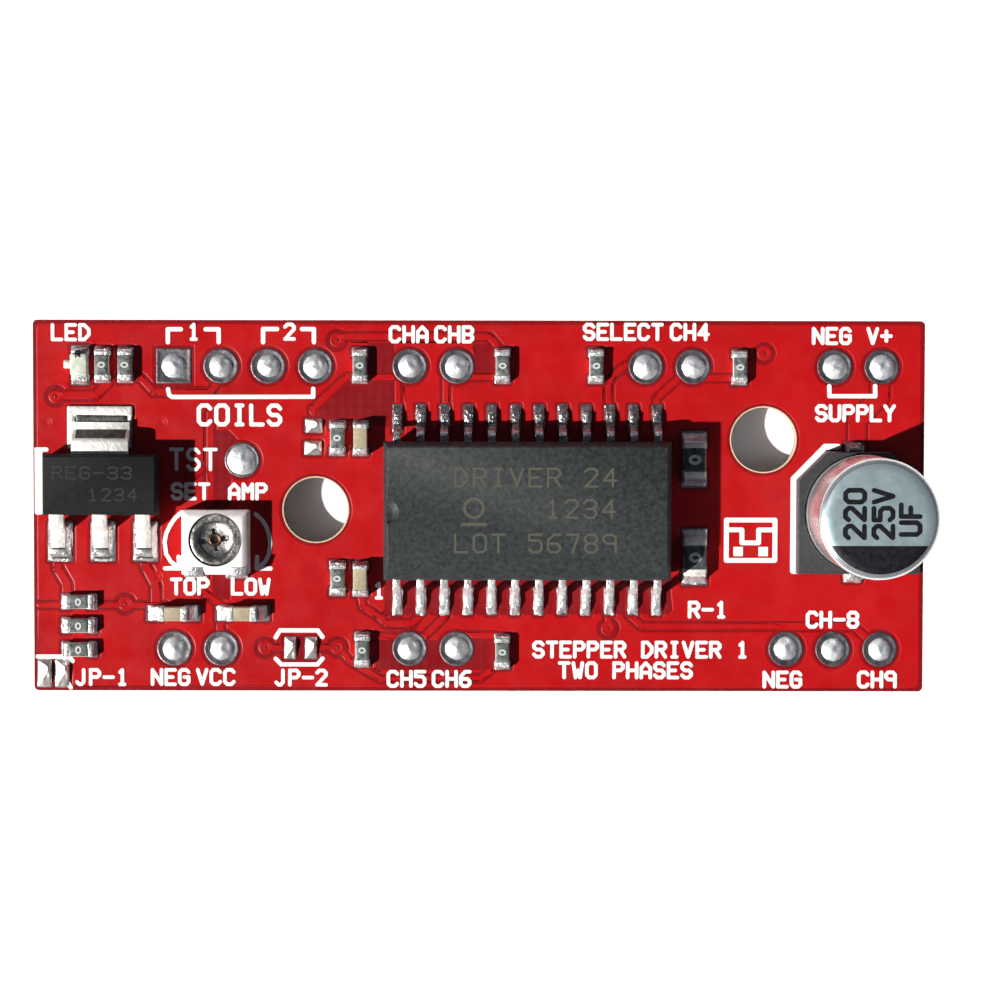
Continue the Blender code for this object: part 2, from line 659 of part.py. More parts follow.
def build_capacitor():
    cap = anchor("capacitor", CAP_CENTRE)
    build_can(cap)

    inner = CAP_RADIUS - CAP_WALL
    bung_neck = inner - CAP_BEAD_DEPTH - FIT_GAP
    bung_rim = inner - FIT_GAP
    bung_foot = CAP_BASE_FLOOR + SEAT_GAP + CAP_WALL + 0.08 * MM
    bung_profile = [
        (0.0, bung_foot),
        (bung_rim - 0.30 * MM, bung_foot),
        (bung_rim, bung_foot + 0.10 * MM),
        (bung_rim, CAP_BEAD_HEIGHT - 0.40 * MM),
        (bung_neck, CAP_BEAD_HEIGHT - 0.16 * MM),
        (bung_neck, CAP_BUNG_TOP),
        (0.0, CAP_BUNG_TOP),
    ]
    bung = new_object("capacitor_bung", turned_mesh(bung_profile, ROTOR_SEGMENTS), "bung_rubber", cap, True)
    wire_places = ((0.0, CAP_LEAD_PITCH / 2), (0.0, -CAP_LEAD_PITCH / 2))
    wire_holes = cylinder_mesh(CAP_WIRE_RADIUS + FIT_GAP, 0.0, CAP_TOP / 2, wire_places, RIVET_SEGMENTS)
    cut(bung, new_object("wire hole cutter", wire_holes, None, cap))

    winding_foot = CAP_BUNG_TOP + 0.15 * MM
    winding_top = CAP_TOP - CAP_WALL - 0.30 * MM
    winding = cylinder_mesh(inner - 0.18 * MM, winding_foot, winding_top, segments=ROTOR_SEGMENTS)
    new_object("capacitor_winding", winding, "winding_paper", cap, True)

    strip_width, strip_thick = CAP_STRIP
    for name, turn in (("capacitor_lead_positive", 0.0), ("capacitor_lead_negative", math.pi)):
        strip_top = SEAT_GAP + strip_thick
        strip = box_mesh(
            ((-strip_width / 2, CAP_LEAD_PITCH / 2 - 0.3 * MM, SEAT_GAP), (strip_width / 2, CAP_LEAD_REACH, strip_top))
        )
        lead = new_object(name, strip, "tin_plate", cap)
        wire = cylinder_mesh(
            CAP_WIRE_RADIUS,
            SEAT_GAP + strip_thick / 2,
            winding_foot - FIT_GAP,
            ((0.0, CAP_LEAD_PITCH / 2),),
            RIVET_SEGMENTS,
        )
        shape = new_object(f"{name} wire shape", wire, None, cap)
        lead.rotation_euler.z = turn
        shape.rotation_euler.z = turn
        join(lead, shape)

    half = CAP_BASE_SIDE / 2
    cut_in = half - CAP_BASE_CUT
    outline = ((-half, -half), (half, -half), (half, cut_in), (cut_in, half), (-cut_in, half), (-half, cut_in))
    base = new_object("capacitor_base", prism_mesh(outline, SEAT_GAP, CAP_POST_TOP), "base_grey", cap)
    well = cylinder_mesh(half + 0.04 * MM, CAP_BASE_FLOOR, CAP_POST_TOP + OVERSHOOT, segments=CAN_SEGMENTS)
    grooves = []
    for side in (1, -1):
        ends = sorted((side * (CAP_LEAD_PITCH / 2 - 0.3 * MM - FIT_GAP), side * (half + OVERSHOOT)))
        room = strip_width / 2 + FIT_GAP
        grooves.append(((-room, ends[0], -OVERSHOOT), (room, ends[1], SEAT_GAP + strip_thick + FIT_GAP)))
    wire_rooms = cylinder_mesh(CAP_WIRE_RADIUS + FIT_GAP, 0.0, CAP_POST_TOP, wire_places, RIVET_SEGMENTS)
    cut(
        base,
        new_object("can well cutter", well, None, cap),
        new_object("lead groove cutter", box_mesh(*grooves), None, cap),
        new_object("base wire hole cutter", wire_rooms, None, cap),
    )


def build_trimmer():
    trim = anchor("trimmer", TRIM_CENTRE)
    axis = anchor("trimmer axis", (TRIM_CENTRE[0], TRIM_CENTRE[1] + TRIM_AXIS_OFFSET_Y))
    half_x, half_y = TRIM_BODY[0] / 2, TRIM_BODY[1] / 2
    foot = SEAT_GAP

    housing_shape = box_mesh(((-half_x, -half_y, foot), (half_x, half_y, TRIM_TOP)))
    housing = new_object("trimmer_housing", housing_shape, "trimmer_ceramic", trim)
    well = cylinder_mesh(TRIM_WELL_RADIUS, TRIM_WELL_FLOOR, TRIM_TOP + OVERSHOOT)
    bore = cylinder_mesh(TRIM_RIVET_RADIUS + FIT_GAP, -OVERSHOOT, TRIM_TOP, segments=RIVET_SEGMENTS)
    strip_room = TRIM_STRIP + FIT_GAP
    terminal_half = TRIM_TERMINAL_WIDTH / 2 + FIT_GAP
    rise = TRIM_TERMINAL_RISE + FIT_GAP
    rooms = []
    for side in (-1, 1):
        x = side * TRIM_TERMINAL_X
        rooms.append(
            ((x - terminal_half, -half_y - OVERSHOOT, -OVERSHOOT), (x + terminal_half, -half_y + strip_room, rise))
        )
        rooms.append(
            (
                (x - terminal_half, -half_y - OVERSHOOT, -OVERSHOOT),
                (x + terminal_half, -half_y + 0.55 * MM, foot + strip_room),
            )
        )
    back_room = ((-terminal_half, half_y - strip_room, -OVERSHOOT), (terminal_half, half_y + OVERSHOOT, rise))
    under_room = ((-terminal_half, -0.6 * MM, -OVERSHOOT), (terminal_half, half_y + OVERSHOOT, foot + strip_room))
    cut(
        housing,
        new_object("trimmer well cutter", well, None, axis),
        new_object("trimmer bore cutter", bore, None, axis),
        new_object("front terminal cutter 1", box_mesh(rooms[0], rooms[2]), None, trim),
        new_object("front terminal cutter 2", box_mesh(rooms[1], rooms[3]), None, trim),
        new_object("back terminal cutter 1", box_mesh(back_room), None, trim),
        new_object("back terminal cutter 2", box_mesh(under_room), None, trim),
    )

    half_width = TRIM_TERMINAL_WIDTH / 2
    strip_middle = foot + TRIM_STRIP / 2
    wall_y = half_y - TRIM_STRIP / 2
    clip = [Vector(p) for p in ((half_y - 0.55 * MM + FIT_GAP, strip_middle), (wall_y, strip_middle))]
    clip_path = [*clip, Vector((wall_y, TRIM_TERMINAL_RISE))]
    for number, side in ((1, 1), (3, -1)):
        terminal = new_object(
            f"trimmer_terminal_{number}", strip_mesh(clip_path, TRIM_STRIP, 2 * half_width), "tin_plate", trim
        )
        terminal.location.x = -side * TRIM_TERMINAL_X
        terminal.rotation_euler.z = math.pi

    wiper_path = [Vector((-0.6 * MM + FIT_GAP, strip_middle)), *clip_path[1:]]
    rivet = new_object(
        "trimmer_rivet_terminal", strip_mesh(wiper_path, TRIM_STRIP, 2 * half_width), "tin_plate", trim
    )
    barrel, flange = TRIM_RIVET_RADIUS, TRIM_RIVET_FLANGE
    lip = TRIM_SLOT_FLOOR + TRIM_RUNNING_GAP
    tube = turned_mesh(
        [
            (TRIM_RIVET_BORE, foot + TRIM_STRIP / 2),
            (barrel, foot + TRIM_STRIP / 2),
            (barrel, lip),
            (flange, lip),
            (flange - 0.03 * MM, lip + 0.07 * MM),
            (TRIM_RIVET_BORE + 0.04 * MM, lip + 0.09 * MM),
            (TRIM_RIVET_BORE, lip + 0.03 * MM),
        ],
        RIVET_SEGMENTS,
    )
    join(rivet, new_object("rivet tube shape", tube, None, axis))

    build_rotor(axis)


def build_rotor(axis):
    """A stamped rotor: flat rim, sunk bowl with a cross slot, and a bore that runs on the rivet."""
    bore = TRIM_RIVET_RADIUS + TRIM_RUNNING_GAP
    rim, bowl = TRIM_ROTOR_RADIUS, TRIM_BOWL_RADIUS
    profile = [
        (bore, TRIM_ROTOR_FOOT),
        (rim - 0.05 * MM, TRIM_ROTOR_FOOT),
        (rim, TRIM_ROTOR_FOOT + 0.05 * MM),
        (rim, TRIM_ROTOR_TOP - 0.08 * MM),
        (rim - 0.08 * MM, TRIM_ROTOR_TOP),
        (bowl + 0.10 * MM, TRIM_ROTOR_TOP),
        (bowl, TRIM_BOWL_FLOOR),
        (bore, TRIM_BOWL_FLOOR),
    ]
    rotor = new_object("trimmer_rotor", turned_mesh(profile, ROTOR_SEGMENTS), "rotor_steel", axis, True)
    reach, half = TRIM_SLOT_LENGTH / 2, TRIM_SLOT_WIDTH / 2
    low, high = TRIM_SLOT_FLOOR, TRIM_TOP + OVERSHOOT
    slots = [
        new_object("slot cutter 1", box_mesh(((-reach, -half, low), (reach, half, high))), None, axis),
        new_object("slot cutter 2", box_mesh(((-half, -reach, low), (half, reach, high))), None, axis),
        new_object(
            "rivet head room cutter",
            cylinder_mesh(TRIM_RIVET_FLANGE + TRIM_RUNNING_GAP, low, high, segments=RIVET_SEGMENTS),
            None,
            axis,
        ),
    ]
    cut(rotor, *slots)
    for cutter in slots[:2]:
        cutter.rotation_euler.z = math.radians(38)


def chip_mesh(size, step=END_CAP_STEP):
    """A chip part: a block with plated end caps a little thicker than its middle."""
    length, width, height, cap = size
    half = length / 2

    def section(x, inset):
        low, high = SEAT_GAP + inset, SEAT_GAP + height - inset
        side = width / 2 - inset
        return [(x, -side, low), (x, side, low), (x, side, high), (x, -side, high)]

    middle = half - cap
    return stacked_mesh(
        [
            section(-half, 0.0),
            section(-middle, 0.0),
            section(-middle + step, step),
            section(middle - step, step),
            section(middle, 0.0),
            section(half, 0.0),
        ]
    )


def build_chips():
    for name, (size, x, y, turn, finish) in CHIPS.items():
        place = anchor(f"{name} place", (x * MM, y * MM))
        chip = new_object(name, chip_mesh(size), finish, place)
        chip.rotation_euler.z = turn


def build_led():
    """A small surface-mounted lamp: a plate with plated ends and a moulded lens block on it."""
    place = anchor("power lamp place", LED_PLACE)
    length, width = LED_SIZE
    half_x, half_y = length / 2, width / 2
    lens = LED_LENS_LENGTH / 2
    draft = LED_LENS_DRAFT
    profile = [
        Vector((-half_x, SEAT_GAP)),
        Vector((half_x, SEAT_GAP)),
        Vector((half_x, LED_PLATE_TOP)),
        Vector((lens, LED_PLATE_TOP)),
        Vector((lens - draft, LED_TOP)),
        Vector((-lens + draft, LED_TOP)),
        Vector((-lens, LED_PLATE_TOP)),
        Vector((-half_x, LED_PLATE_TOP)),
    ]
    near = [(p.x, -half_y, p.y) for p in profile]
    far = [(p.x, half_y, p.y) for p in profile]
    lamp = new_object("power_led", stacked_mesh([near, far]), "led_lens", place)
    lamp.rotation_euler.z = ALONG_Y


def main():
    clear_scene()
    build_board()
    build_ic()
    build_regulator()
    build_capacitor()
    build_trimmer()
    build_chips()
    build_led()


main()
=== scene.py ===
"""Looks for the stepper driver module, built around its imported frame."""

import math
import random

import bmesh
import bpy
from mathutils import Matrix, Quaternion, Vector, noise
from mathutils.geometry import delaunay_2d_cdt


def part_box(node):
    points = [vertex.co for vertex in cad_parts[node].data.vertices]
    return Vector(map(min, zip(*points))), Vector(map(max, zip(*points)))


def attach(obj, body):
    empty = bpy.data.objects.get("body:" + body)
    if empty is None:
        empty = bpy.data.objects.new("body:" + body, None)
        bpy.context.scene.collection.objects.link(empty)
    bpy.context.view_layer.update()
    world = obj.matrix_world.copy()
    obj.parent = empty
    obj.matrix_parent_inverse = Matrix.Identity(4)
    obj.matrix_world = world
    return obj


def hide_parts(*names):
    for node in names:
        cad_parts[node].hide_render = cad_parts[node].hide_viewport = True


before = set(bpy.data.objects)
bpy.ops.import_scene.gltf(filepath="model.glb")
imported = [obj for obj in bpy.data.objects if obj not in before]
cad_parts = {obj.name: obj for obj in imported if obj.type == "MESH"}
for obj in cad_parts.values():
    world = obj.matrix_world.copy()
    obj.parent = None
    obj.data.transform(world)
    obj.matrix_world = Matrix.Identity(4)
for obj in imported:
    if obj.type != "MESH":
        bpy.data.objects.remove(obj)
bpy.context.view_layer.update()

# Blender's noise starts from the clock unless it is given a seed
noise.seed_set(7)

MM = 0.001

# Levels in the board's stack, in mm above its underside
CORE_LOW, CORE_HIGH = 0.045, 1.56
LAMINATE_LEVEL = 1.60
COPPER_LEVEL = PAD_LEVEL = 1.614
PRINT_LEVEL = 1.642
MASK_SLOPE = 0.05

# Board, in mm
HALF_LENGTH, HALF_WIDTH = 24.0, 10.0
BOARD_CORNER = 0.25
HOLE_RADIUS = 1.80
HOLE_RIM = 0.085
POUR_INSET = 0.20
MOUNT_HOLES = ((-8.79, -0.20), (15.32, 3.61))

# Terminal rows, in mm
PITCH = 2.54
FIRST_X, BACK_Y = -16.42, 7.53
FRONT_Y = BACK_Y - 6 * PITCH
BACK_ROW = (0, 1, 2, 3, 5, 6, 10, 11, 14, 15)
FRONT_ROW = (0, 1, 5, 6, 13, 14, 15)
TEST_POINT = (-12.75, 2.47)
TERMINAL_PAD = 0.94
TERMINAL_DOME = 0.64

# Lead spacings, and how far the driver chip and the can stand off their CAD places, in mm
LEAD_PITCH, LEAD_REACH = 1.27, 4.92
REGULATOR_PITCH = 2.3
CHIP_SHIFT = -0.14
CAN_SHIFT = 0.25

BOARD, ROTOR = "board", "rotor"
EVEN = (1.0, 1.0, 1.0)
SIDES = (-1, 1)


# Materials


def set_ramp(node, stops):
    """Fills a colour ramp; each stop is (position, colour)."""
    elements = node.color_ramp.elements
    while len(elements) < len(stops):
        elements.new(0.5)
    for element, (position, colour) in zip(elements, stops):
        element.position = position
        element.color = (*colour, 1.0)


class Shader:
    """A Principled material and short ways to wire patterns into it. Pattern sizes are in mm."""

    def __init__(self, name, colour, rough, metal=0.0, **sockets):
        self.material = bpy.data.materials.new(name)
        self.material.use_nodes = True
        self.tree = self.material.node_tree
        self.main = self.tree.nodes["Principled BSDF"].inputs
        self.colour = colour
        self.main["Base Color"].default_value = (*colour, 1.0)
        self.main["Roughness"].default_value = rough
        self.main["Metallic"].default_value = metal
        for socket, value in sockets.items():
            self.main[socket.replace("_", " ")].default_value = value

    def link(self, source, target):
        self.tree.links.new(source, target)

    def texture(self, kind, stretch, **inputs):
        """A texture laid in the piece's own coordinates in mm, stretched for grain."""
        place, mapping, node = (self.tree.nodes.new(f"ShaderNode{k}") for k in ("TexCoord", "Mapping", kind))
        mapping.inputs["Scale"].default_value = [s / MM for s in stretch]
        self.link(place.outputs["Object"], mapping.inputs["Vector"])
        self.link(mapping.outputs["Vector"], node.inputs["Vector"])
        for name, value in inputs.items():
            node.inputs[name].default_value = value
        return node

    def noise(self, size, detail=3.0, stretch=EVEN, rough=0.55):
        node = self.texture("TexNoise", stretch, Scale=1.0 / size, Detail=detail, Roughness=rough)
        return node.outputs["Fac"]

    def weave(self, direction):
        """Bands half a millimetre apart."""
        node = self.texture("TexWave", EVEN, Scale=0.628, Distortion=0.6)
        node.bands_direction = direction
        return node.outputs["Fac"]

    def spread(self, socket, source, low, high, dark, light):
        """Sends a pattern to a socket through a ramp between two colours."""
        node = self.tree.nodes.new("ShaderNodeValToRGB")
        set_ramp(node, [(low, dark), (high, light)])
        self.link(source, node.inputs["Fac"])
        self.link(node.outputs["Color"], self.main[socket])
        return self

    def mottle(self, size, amount, stretch=EVEN):
        """Lets the base colour drift lighter and darker."""
        dark = [c * (1.0 - amount) for c in self.colour]
        light = [min(1.0, c * (1.0 + amount)) for c in self.colour]
        return self.spread("Base Color", self.noise(size, 4.0, stretch), 0.3, 0.7, dark, light)

    def vary_roughness(self, size, low, high, stretch=EVEN):
        return self.spread("Roughness", self.noise(size, 3.0, stretch), 0.3, 0.7, [low] * 3, [high] * 3)

    def bump(self, depth, size=0.0, detail=3.0, stretch=EVEN, source=None):
        """Fine relief, depth in mm. More than one call stacks up."""
        node = self.tree.nodes.new("ShaderNodeBump")
        node.inputs["Strength"].default_value = 1.0
        node.inputs["Distance"].default_value = depth * MM
        self.link(source or self.noise(size, detail, stretch), node.inputs["Height"])
        taken = self.main["Normal"]
        if taken.links:
            self.link(taken.links[0].from_socket, node.inputs["Normal"])
        self.link(node.outputs["Normal"], taken)
        return self


def solder_mask(name, colour, weave):
    """Solder mask: orange-peel gloss, drifting tone and a hint of the glass weave below."""
    look = Shader(name, colour, 0.36, Specular_IOR_Level=0.4)
    look.mottle(2.6, 0.10).vary_roughness(1.1, 0.28, 0.44).bump(0.004, 0.22)
    for direction in "XY" if weave else "":
        look.bump(weave, source=look.weave(direction))
    return look.material


def laminate_edge():
    """Routed glass laminate: cream, with fibre layers along the edge."""
    look = Shader("routed_laminate", (0.34, 0.29, 0.24), 0.75)
    layers = look.noise(0.5, 5.0, (0.35, 0.35, 7.0))
    look.spread("Base Color", layers, 0.25, 0.75, (0.22, 0.18, 0.15), (0.44, 0.38, 0.32))
    return look.vary_roughness(0.4, 0.6, 0.9).bump(0.02, 0.12, 4.0, (1.0, 1.0, 4.0)).material


def tinned(name, colour, rough, grain, size, metal, drift):
    """Solder or tin: matt bright metal with dull patches and a frozen, rippled skin."""
    look = Shader(name, colour, 0.3, metal).mottle(0.32, drift).vary_roughness(0.45, *rough)
    return look.bump(grain * 1.6, size * 2.4).bump(grain, size).material


def moulding(name, colour, speck, rough=(0.5, 0.68), grain=0.012, size=0.09, shine=0.45):
    """Epoxy moulding compound: fine matt grain with pale filler specks."""
    look = Shader(name, colour, 0.6, Specular_IOR_Level=shine)
    look.spread("Base Color", look.noise(0.26, 6.0, rough=0.75), 0.34, 0.72, colour, speck)
    return look.vary_roughness(0.3, *rough).bump(grain, size, 5.0).material


def printed(name, colour, rough=0.55):
    """Screen ink: slightly uneven in tone and thickness."""
    look = Shader(name, colour, rough).mottle(0.35, 0.05)
    return look.vary_roughness(0.3, rough - 0.12, rough + 0.12).bump(0.006, 0.12).material


def can_side():
    """Drawn aluminium: satin, with faint streaks round the can."""
    look = Shader("can_aluminium", (0.82, 0.82, 0.83), 0.24, 0.85).mottle(0.6, 0.05, (0.3, 0.3, 6.0))
    look.vary_roughness(0.5, 0.18, 0.30, (0.3, 0.3, 8.0))
    return look.bump(0.002, 0.2, stretch=(0.2, 0.2, 10.0)).material


def can_top():
    """The can's end under its clear blue-grey film."""
    look = Shader("can_end_film", (0.46, 0.58, 0.615), 0.42, 0.62, Coat_Weight=0.25)
    return look.mottle(1.2, 0.06).vary_roughness(0.5, 0.34, 0.5).bump(0.004, 0.25, 4.0).material


def trimmer_ceramic():
    """Fired white ceramic without a glaze."""
    look = Shader("trimmer_ceramic", (0.92, 0.86, 0.83), 0.5)
    return look.mottle(0.4, 0.08).vary_roughness(0.3, 0.38, 0.62).bump(0.012, 0.1, 5.0).material


def stamped_steel():
    """The rotor: worn sheet, blotched with dirt."""
    look = Shader("stamped_steel", (0.36, 0.35, 0.33), 0.32, 0.95).mottle(0.35, 0.5)
    return look.vary_roughness(0.2, 0.30, 0.52).bump(0.03, 0.2, 4.0).bump(0.003, 0.05).material


def ceramic(name, dark, light, rough=(0.35, 0.6)):
    """A dry, fine-grained surface between two tones."""
    look = Shader(name, light, 0.5)
    look.spread("Base Color", look.noise(0.2, 5.0), 0.3, 0.7, dark, light)
    return look.vary_roughness(0.25, *rough).bump(0.006, 0.08, 4.0).material


def glaze(name, dark, light):
    """Dark overglaze, a little glossy."""
    look = Shader(name, light, 0.3, Coat_Weight=0.2)
    look.spread("Base Color", look.noise(0.24, 4.0), 0.3, 0.75, dark, light)
    return look.vary_roughness(0.3, 0.2, 0.42).bump(0.01, 0.2).material


def lens_resin():
    """The lamp's clouded resin."""
    look = Shader("lamp_lens", (0.70, 0.72, 0.62), 0.22, Coat_Weight=0.4)
    look.spread("Base Color", look.noise(0.3), 0.3, 0.7, (0.50, 0.55, 0.42), (0.82, 0.82, 0.74))
    return look.vary_roughness(0.3, 0.14, 0.34).bump(0.01, 0.3).material


def floor_paper(name, colour):
    return Shader(name, colour, 0.85).mottle(9.0, 0.004).bump(0.01, 0.4).material


MATERIALS = {
    "mask_copper": solder_mask("mask_over_copper", (0.445, 0.0045, 0.006), 0.0),
    "mask_laminate": solder_mask("mask_over_laminate", (0.22, 0.004, 0.007), 0.004),
    "laminate": laminate_edge(),
    "bare_laminate": ceramic("bare_laminate", (0.62, 0.45, 0.28), (0.80, 0.62, 0.42), (0.6, 0.8)),
    "wedge": tinned("smooth_solder", (0.88, 0.80, 0.74), (0.30, 0.42), 0.016, 0.25, 0.9, 0.1),
    "tin": tinned("bright_tin", (0.80, 0.79, 0.79), (0.30, 0.46), 0.03, 0.14, 0.86, 0.16),
    "tab": tinned("tab_solder", (0.90, 0.86, 0.81), (0.50, 0.64), 0.03, 0.22, 0.5, 0.12),
    # A whiter, more matt copy of the tin for the sunlit front leads and chip ends. The matt finish is real;
    # the extra whiteness is painted light.
    "front_tin": tinned("front_tin", (0.93, 0.91, 0.90), (0.34, 0.5), 0.05, 0.16, 0.68, 0.3),
    # A darker, blotchier copy of the tin for leads and joints on the shaded back side: painted shade.
    "shaded_tin": tinned("shade_darkened_tin", (0.46, 0.45, 0.45), (0.24, 0.42), 0.07, 0.16, 0.95, 0.5),
    "chip_mark": printed("chip_mark", (0.60, 0.62, 0.60), 0.6),
    "pad": tinned("flat_tin", (0.30, 0.28, 0.30), (0.36, 0.48), 0.012, 0.2, 1.0, 0.25),
    "solder": tinned("reflowed_solder", (0.88, 0.86, 0.85), (0.28, 0.44), 0.044, 0.16, 0.76, 0.25),
    "dome": tinned("hand_solder", (0.87, 0.90, 0.94), (0.48, 0.58), 0.026, 0.2, 0.80, 0.12),
    "white": printed("white_print", (0.86, 0.85, 0.84)),
    "ic": moulding("chip_moulding", (0.002, 0.004, 0.005), (0.042, 0.048, 0.050), size=0.08),
    "regulator": moulding(
        "regulator_moulding", (0.004, 0.005, 0.005), (0.011, 0.012, 0.013), (0.62, 0.74), shine=0.22
    ),
    "laser": printed("laser_mark", (0.078, 0.077, 0.055), 0.7),
    "laser_faint": printed("faint_laser_mark", (0.017, 0.018, 0.018), 0.7),
    "can": can_side(),
    "can_top": can_top(),
    "black_ink": printed("black_ink", (0.006, 0.006, 0.009), 0.45),
    "base": moulding("base_moulding", (0.026, 0.026, 0.028), (0.050, 0.050, 0.053), (0.4, 0.6), 0.01, 0.15),
    "ceramic_white": trimmer_ceramic(),
    "steel": stamped_steel(),
    # Brass darkened to brown-black for the shade in the rotor's centre hole: painted shade.
    "brass": tinned("shade_darkened_brass", (0.13, 0.075, 0.05), (0.40, 0.55), 0.02, 0.1, 1.0, 0.4),
    # Near-black steel laid on metal that lies in shade: painted shade.
    "shade_steel": tinned("painted_shade_steel", (0.11, 0.11, 0.10), (0.5, 0.7), 0.02, 0.1, 0.7, 0.45),
    "alumina": ceramic("alumina", (0.55, 0.54, 0.50), (0.80, 0.79, 0.75)),
    "glaze": glaze("resistor_glaze", (0.045, 0.05, 0.047), (0.26, 0.28, 0.27)),
    "gloss_glaze": glaze("sense_glaze", (0.03, 0.034, 0.038), (0.13, 0.145, 0.15)),
    "tan": ceramic("tan_ceramic", (0.36, 0.29, 0.19), (0.50, 0.42, 0.29)),
    "lens": lens_resin(),
    "rubber": moulding("bung_rubber", (0.02, 0.02, 0.02), (0.04, 0.04, 0.04), (0.7, 0.9), 0.02, 0.2),
    "winding": ceramic("winding_paper", (0.35, 0.26, 0.15), (0.58, 0.47, 0.30), (0.7, 0.9)),
    "silicon": glaze("die_silicon", (0.08, 0.08, 0.10), (0.16, 0.15, 0.18)),
    "floor": floor_paper("floor_paper", (0.93, 0.93, 0.93)),
    "shaded_floor": floor_paper("shaded_floor_paper", (0.90, 0.91, 0.98)),
}


# Pieces


def new_mesh(name, bm):
    """A mesh from a bmesh, which is freed."""
    mesh = bpy.data.meshes.new(name)
    bm.to_mesh(mesh)
    bm.free()
    return mesh


def new_object(name, data):
    """An object linked to the scene."""
    obj = bpy.data.objects.new(name, data)
    bpy.context.scene.collection.objects.link(obj)
    return obj


def solid(name, bm):
    """An object from a closed bmesh in mm."""
    bmesh.ops.scale(bm, vec=(MM, MM, MM), verts=bm.verts)
    bmesh.ops.recalc_face_normals(bm, faces=bm.faces)
    return new_object(name, new_mesh(name, bm))


def shade(obj, angle):
    """Smooth shading with edges sharper than an angle kept crisp."""
    obj.data.shade_smooth()
    obj.data.set_sharp_from_angle(angle=math.radians(angle))


def soften(obj, width, segments, angle):
    """Bevels a piece's edges."""
    modifier = obj.modifiers.new("soft edges", "BEVEL")
    modifier.width = width * MM
    modifier.segments = segments
    modifier.limit_method = "ANGLE"
    modifier.angle_limit = math.radians(angle)
    return modifier


def piece(name, bm, look, body=BOARD, replaces=(), smooth=None):
    """Turns a bmesh in mm into a finished piece that rides on a CAD body."""
    obj = solid(name, bm)
    obj.data.materials.append(MATERIALS[look])
    if smooth:
        shade(obj, smooth)
    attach(obj, body)
    if replaces:
        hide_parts(*replaces)
    return obj


def cut_from(obj, bm):
    """Cuts a shape given in mm from a finished piece."""
    tool = solid("cutter", bm)
    modifier = obj.modifiers.new("cut", "BOOLEAN")
    modifier.operation = "DIFFERENCE"
    modifier.solver = "EXACT"
    modifier.object = tool
    bpy.context.view_layer.update()
    evaluated = obj.evaluated_get(bpy.context.evaluated_depsgraph_get())
    result = bpy.data.meshes.new_from_object(evaluated)
    obj.modifiers.clear()
    material = obj.data.materials[0]
    obj.data = result
    if not result.materials:
        result.materials.append(material)
    bpy.data.objects.remove(tool, do_unlink=True)


def merged(*bms):
    """One bmesh from several."""
    whole = bmesh.new()
    for bm in bms:
        mesh = new_mesh("part", bm)
        whole.from_mesh(mesh)
        bpy.data.meshes.remove(mesh)
    return whole


def moved(bm, x=0.0, y=0.0, z=0.0, turn=0.0):
    matrix = Matrix.Translation((x, y, z)) @ Matrix.Rotation(turn, 4, "Z")
    bmesh.ops.transform(bm, matrix=matrix, verts=bm.verts)
    return bm


def skin(bm, rings):
    """Joins rings of points one after another. A ring may be a single point."""
    count = max(len(ring) for ring in rings)
    for lower, upper in zip(rings, rings[1:]):
        for i in range(count):
            corners = [lower[n % len(lower)] for n in (i, i + 1)]
            corners += [upper[n % len(upper)] for n in (i + 1, i)]
            corners = list(dict.fromkeys(corners))
            if len(corners) > 2:
                bm.faces.new(corners)


def loft(sections):
    """A closed solid through rings of points, capped at both ends."""
    bm = bmesh.new()
    rings = [[bm.verts.new(point) for point in section] for section in sections]
    skin(bm, rings)
    bm.faces.new(rings[0][::-1])
    bm.faces.new(rings[-1])
    return bm


def stack(layers):
    """A closed solid through flat outlines; each layer is (outline, level)."""
    return loft([[(x, y, level) for x, y in outline] for outline, level in layers])


def circle(x, y, radius, segments=32):
    angles = (2 * math.pi * i / segments for i in range(segments))
    return [(x + radius * math.cos(a), y + radius * math.sin(a)) for a in angles]


def arc(x, y, radius, first, last, steps):
    """Points round an arc, angles in degrees."""
    angles = (math.radians(first + (last - first) * i / steps) for i in range(steps + 1))
    return [(x + radius * math.cos(a), y + radius * math.sin(a)) for a in angles]


def turned(profile, segments=48):
    """A solid of revolution about Z from a closed loop of (radius, height), which may touch the axis."""
    bm = bmesh.new()
    rings = []
    for radius, height in profile:
        outline = circle(0.0, 0.0, radius, segments) if radius else [(0.0, 0.0)]
        rings.append([bm.verts.new((x, y, height)) for x, y in outline])
    skin(bm, [*rings, rings[0]])
    return bm


def rounded_rectangle(half_x, half_y, radius, steps=3, x=0.0, y=0.0, side_points=0):
    """Points round a rectangle with rounded corners, anticlockwise, with optional points along its sides."""
    points = []
    for corner, (sx, sy) in enumerate(((1, 1), (-1, 1), (-1, -1), (1, -1))):
        cx, cy = x + sx * (half_x - radius), y + sy * (half_y - radius)
        for step in range(steps + 1):
            angle = math.pi / 2 * (corner + step / steps)
            points.append((cx + radius * math.cos(angle), cy + radius * math.sin(angle)))
    dense = []
    for i, (ax, ay) in enumerate(points):
        dense.append((ax, ay))
        if i % (steps + 1) == steps:
            bx, by = points[(i + 1) % len(points)]
            parts = [(n + 1) / (side_points + 1) for n in range(side_points)]
            dense += [(ax + (bx - ax) * t, ay + (by - ay) * t) for t in parts]
    return dense


def soft_block(half_x, half_y, low, high, radius, soft):
    """A block with rounded corners and rounded top and bottom edges."""
    rims = [(low, soft), (low + 0.3 * soft, 0.3 * soft), (low + soft, 0.0)]
    rims += [(high - soft, 0.0), (high - 0.3 * soft, 0.3 * soft), (high, soft)]
    corners = [max(0.005, radius - 0.5 * inset) for _, inset in rims]
    return stack((rounded_rectangle(half_x - i, half_y - i, r), z) for (z, i), r in zip(rims, corners))


def pillow(half_x, half_y, low, high, crown):
    """A domed slab, like a thick coat of glaze."""
    rims = [(low, 0.0), (high, 0.0), (high + 0.4 * crown, 0.04), (high + 0.75 * crown, 0.10)]
    rims += [(high + 0.93 * crown, 0.17), (high + crown, 0.26)]
    return stack((rounded_rectangle(half_x - i, half_y - i, 0.06), z) for z, i in rims)


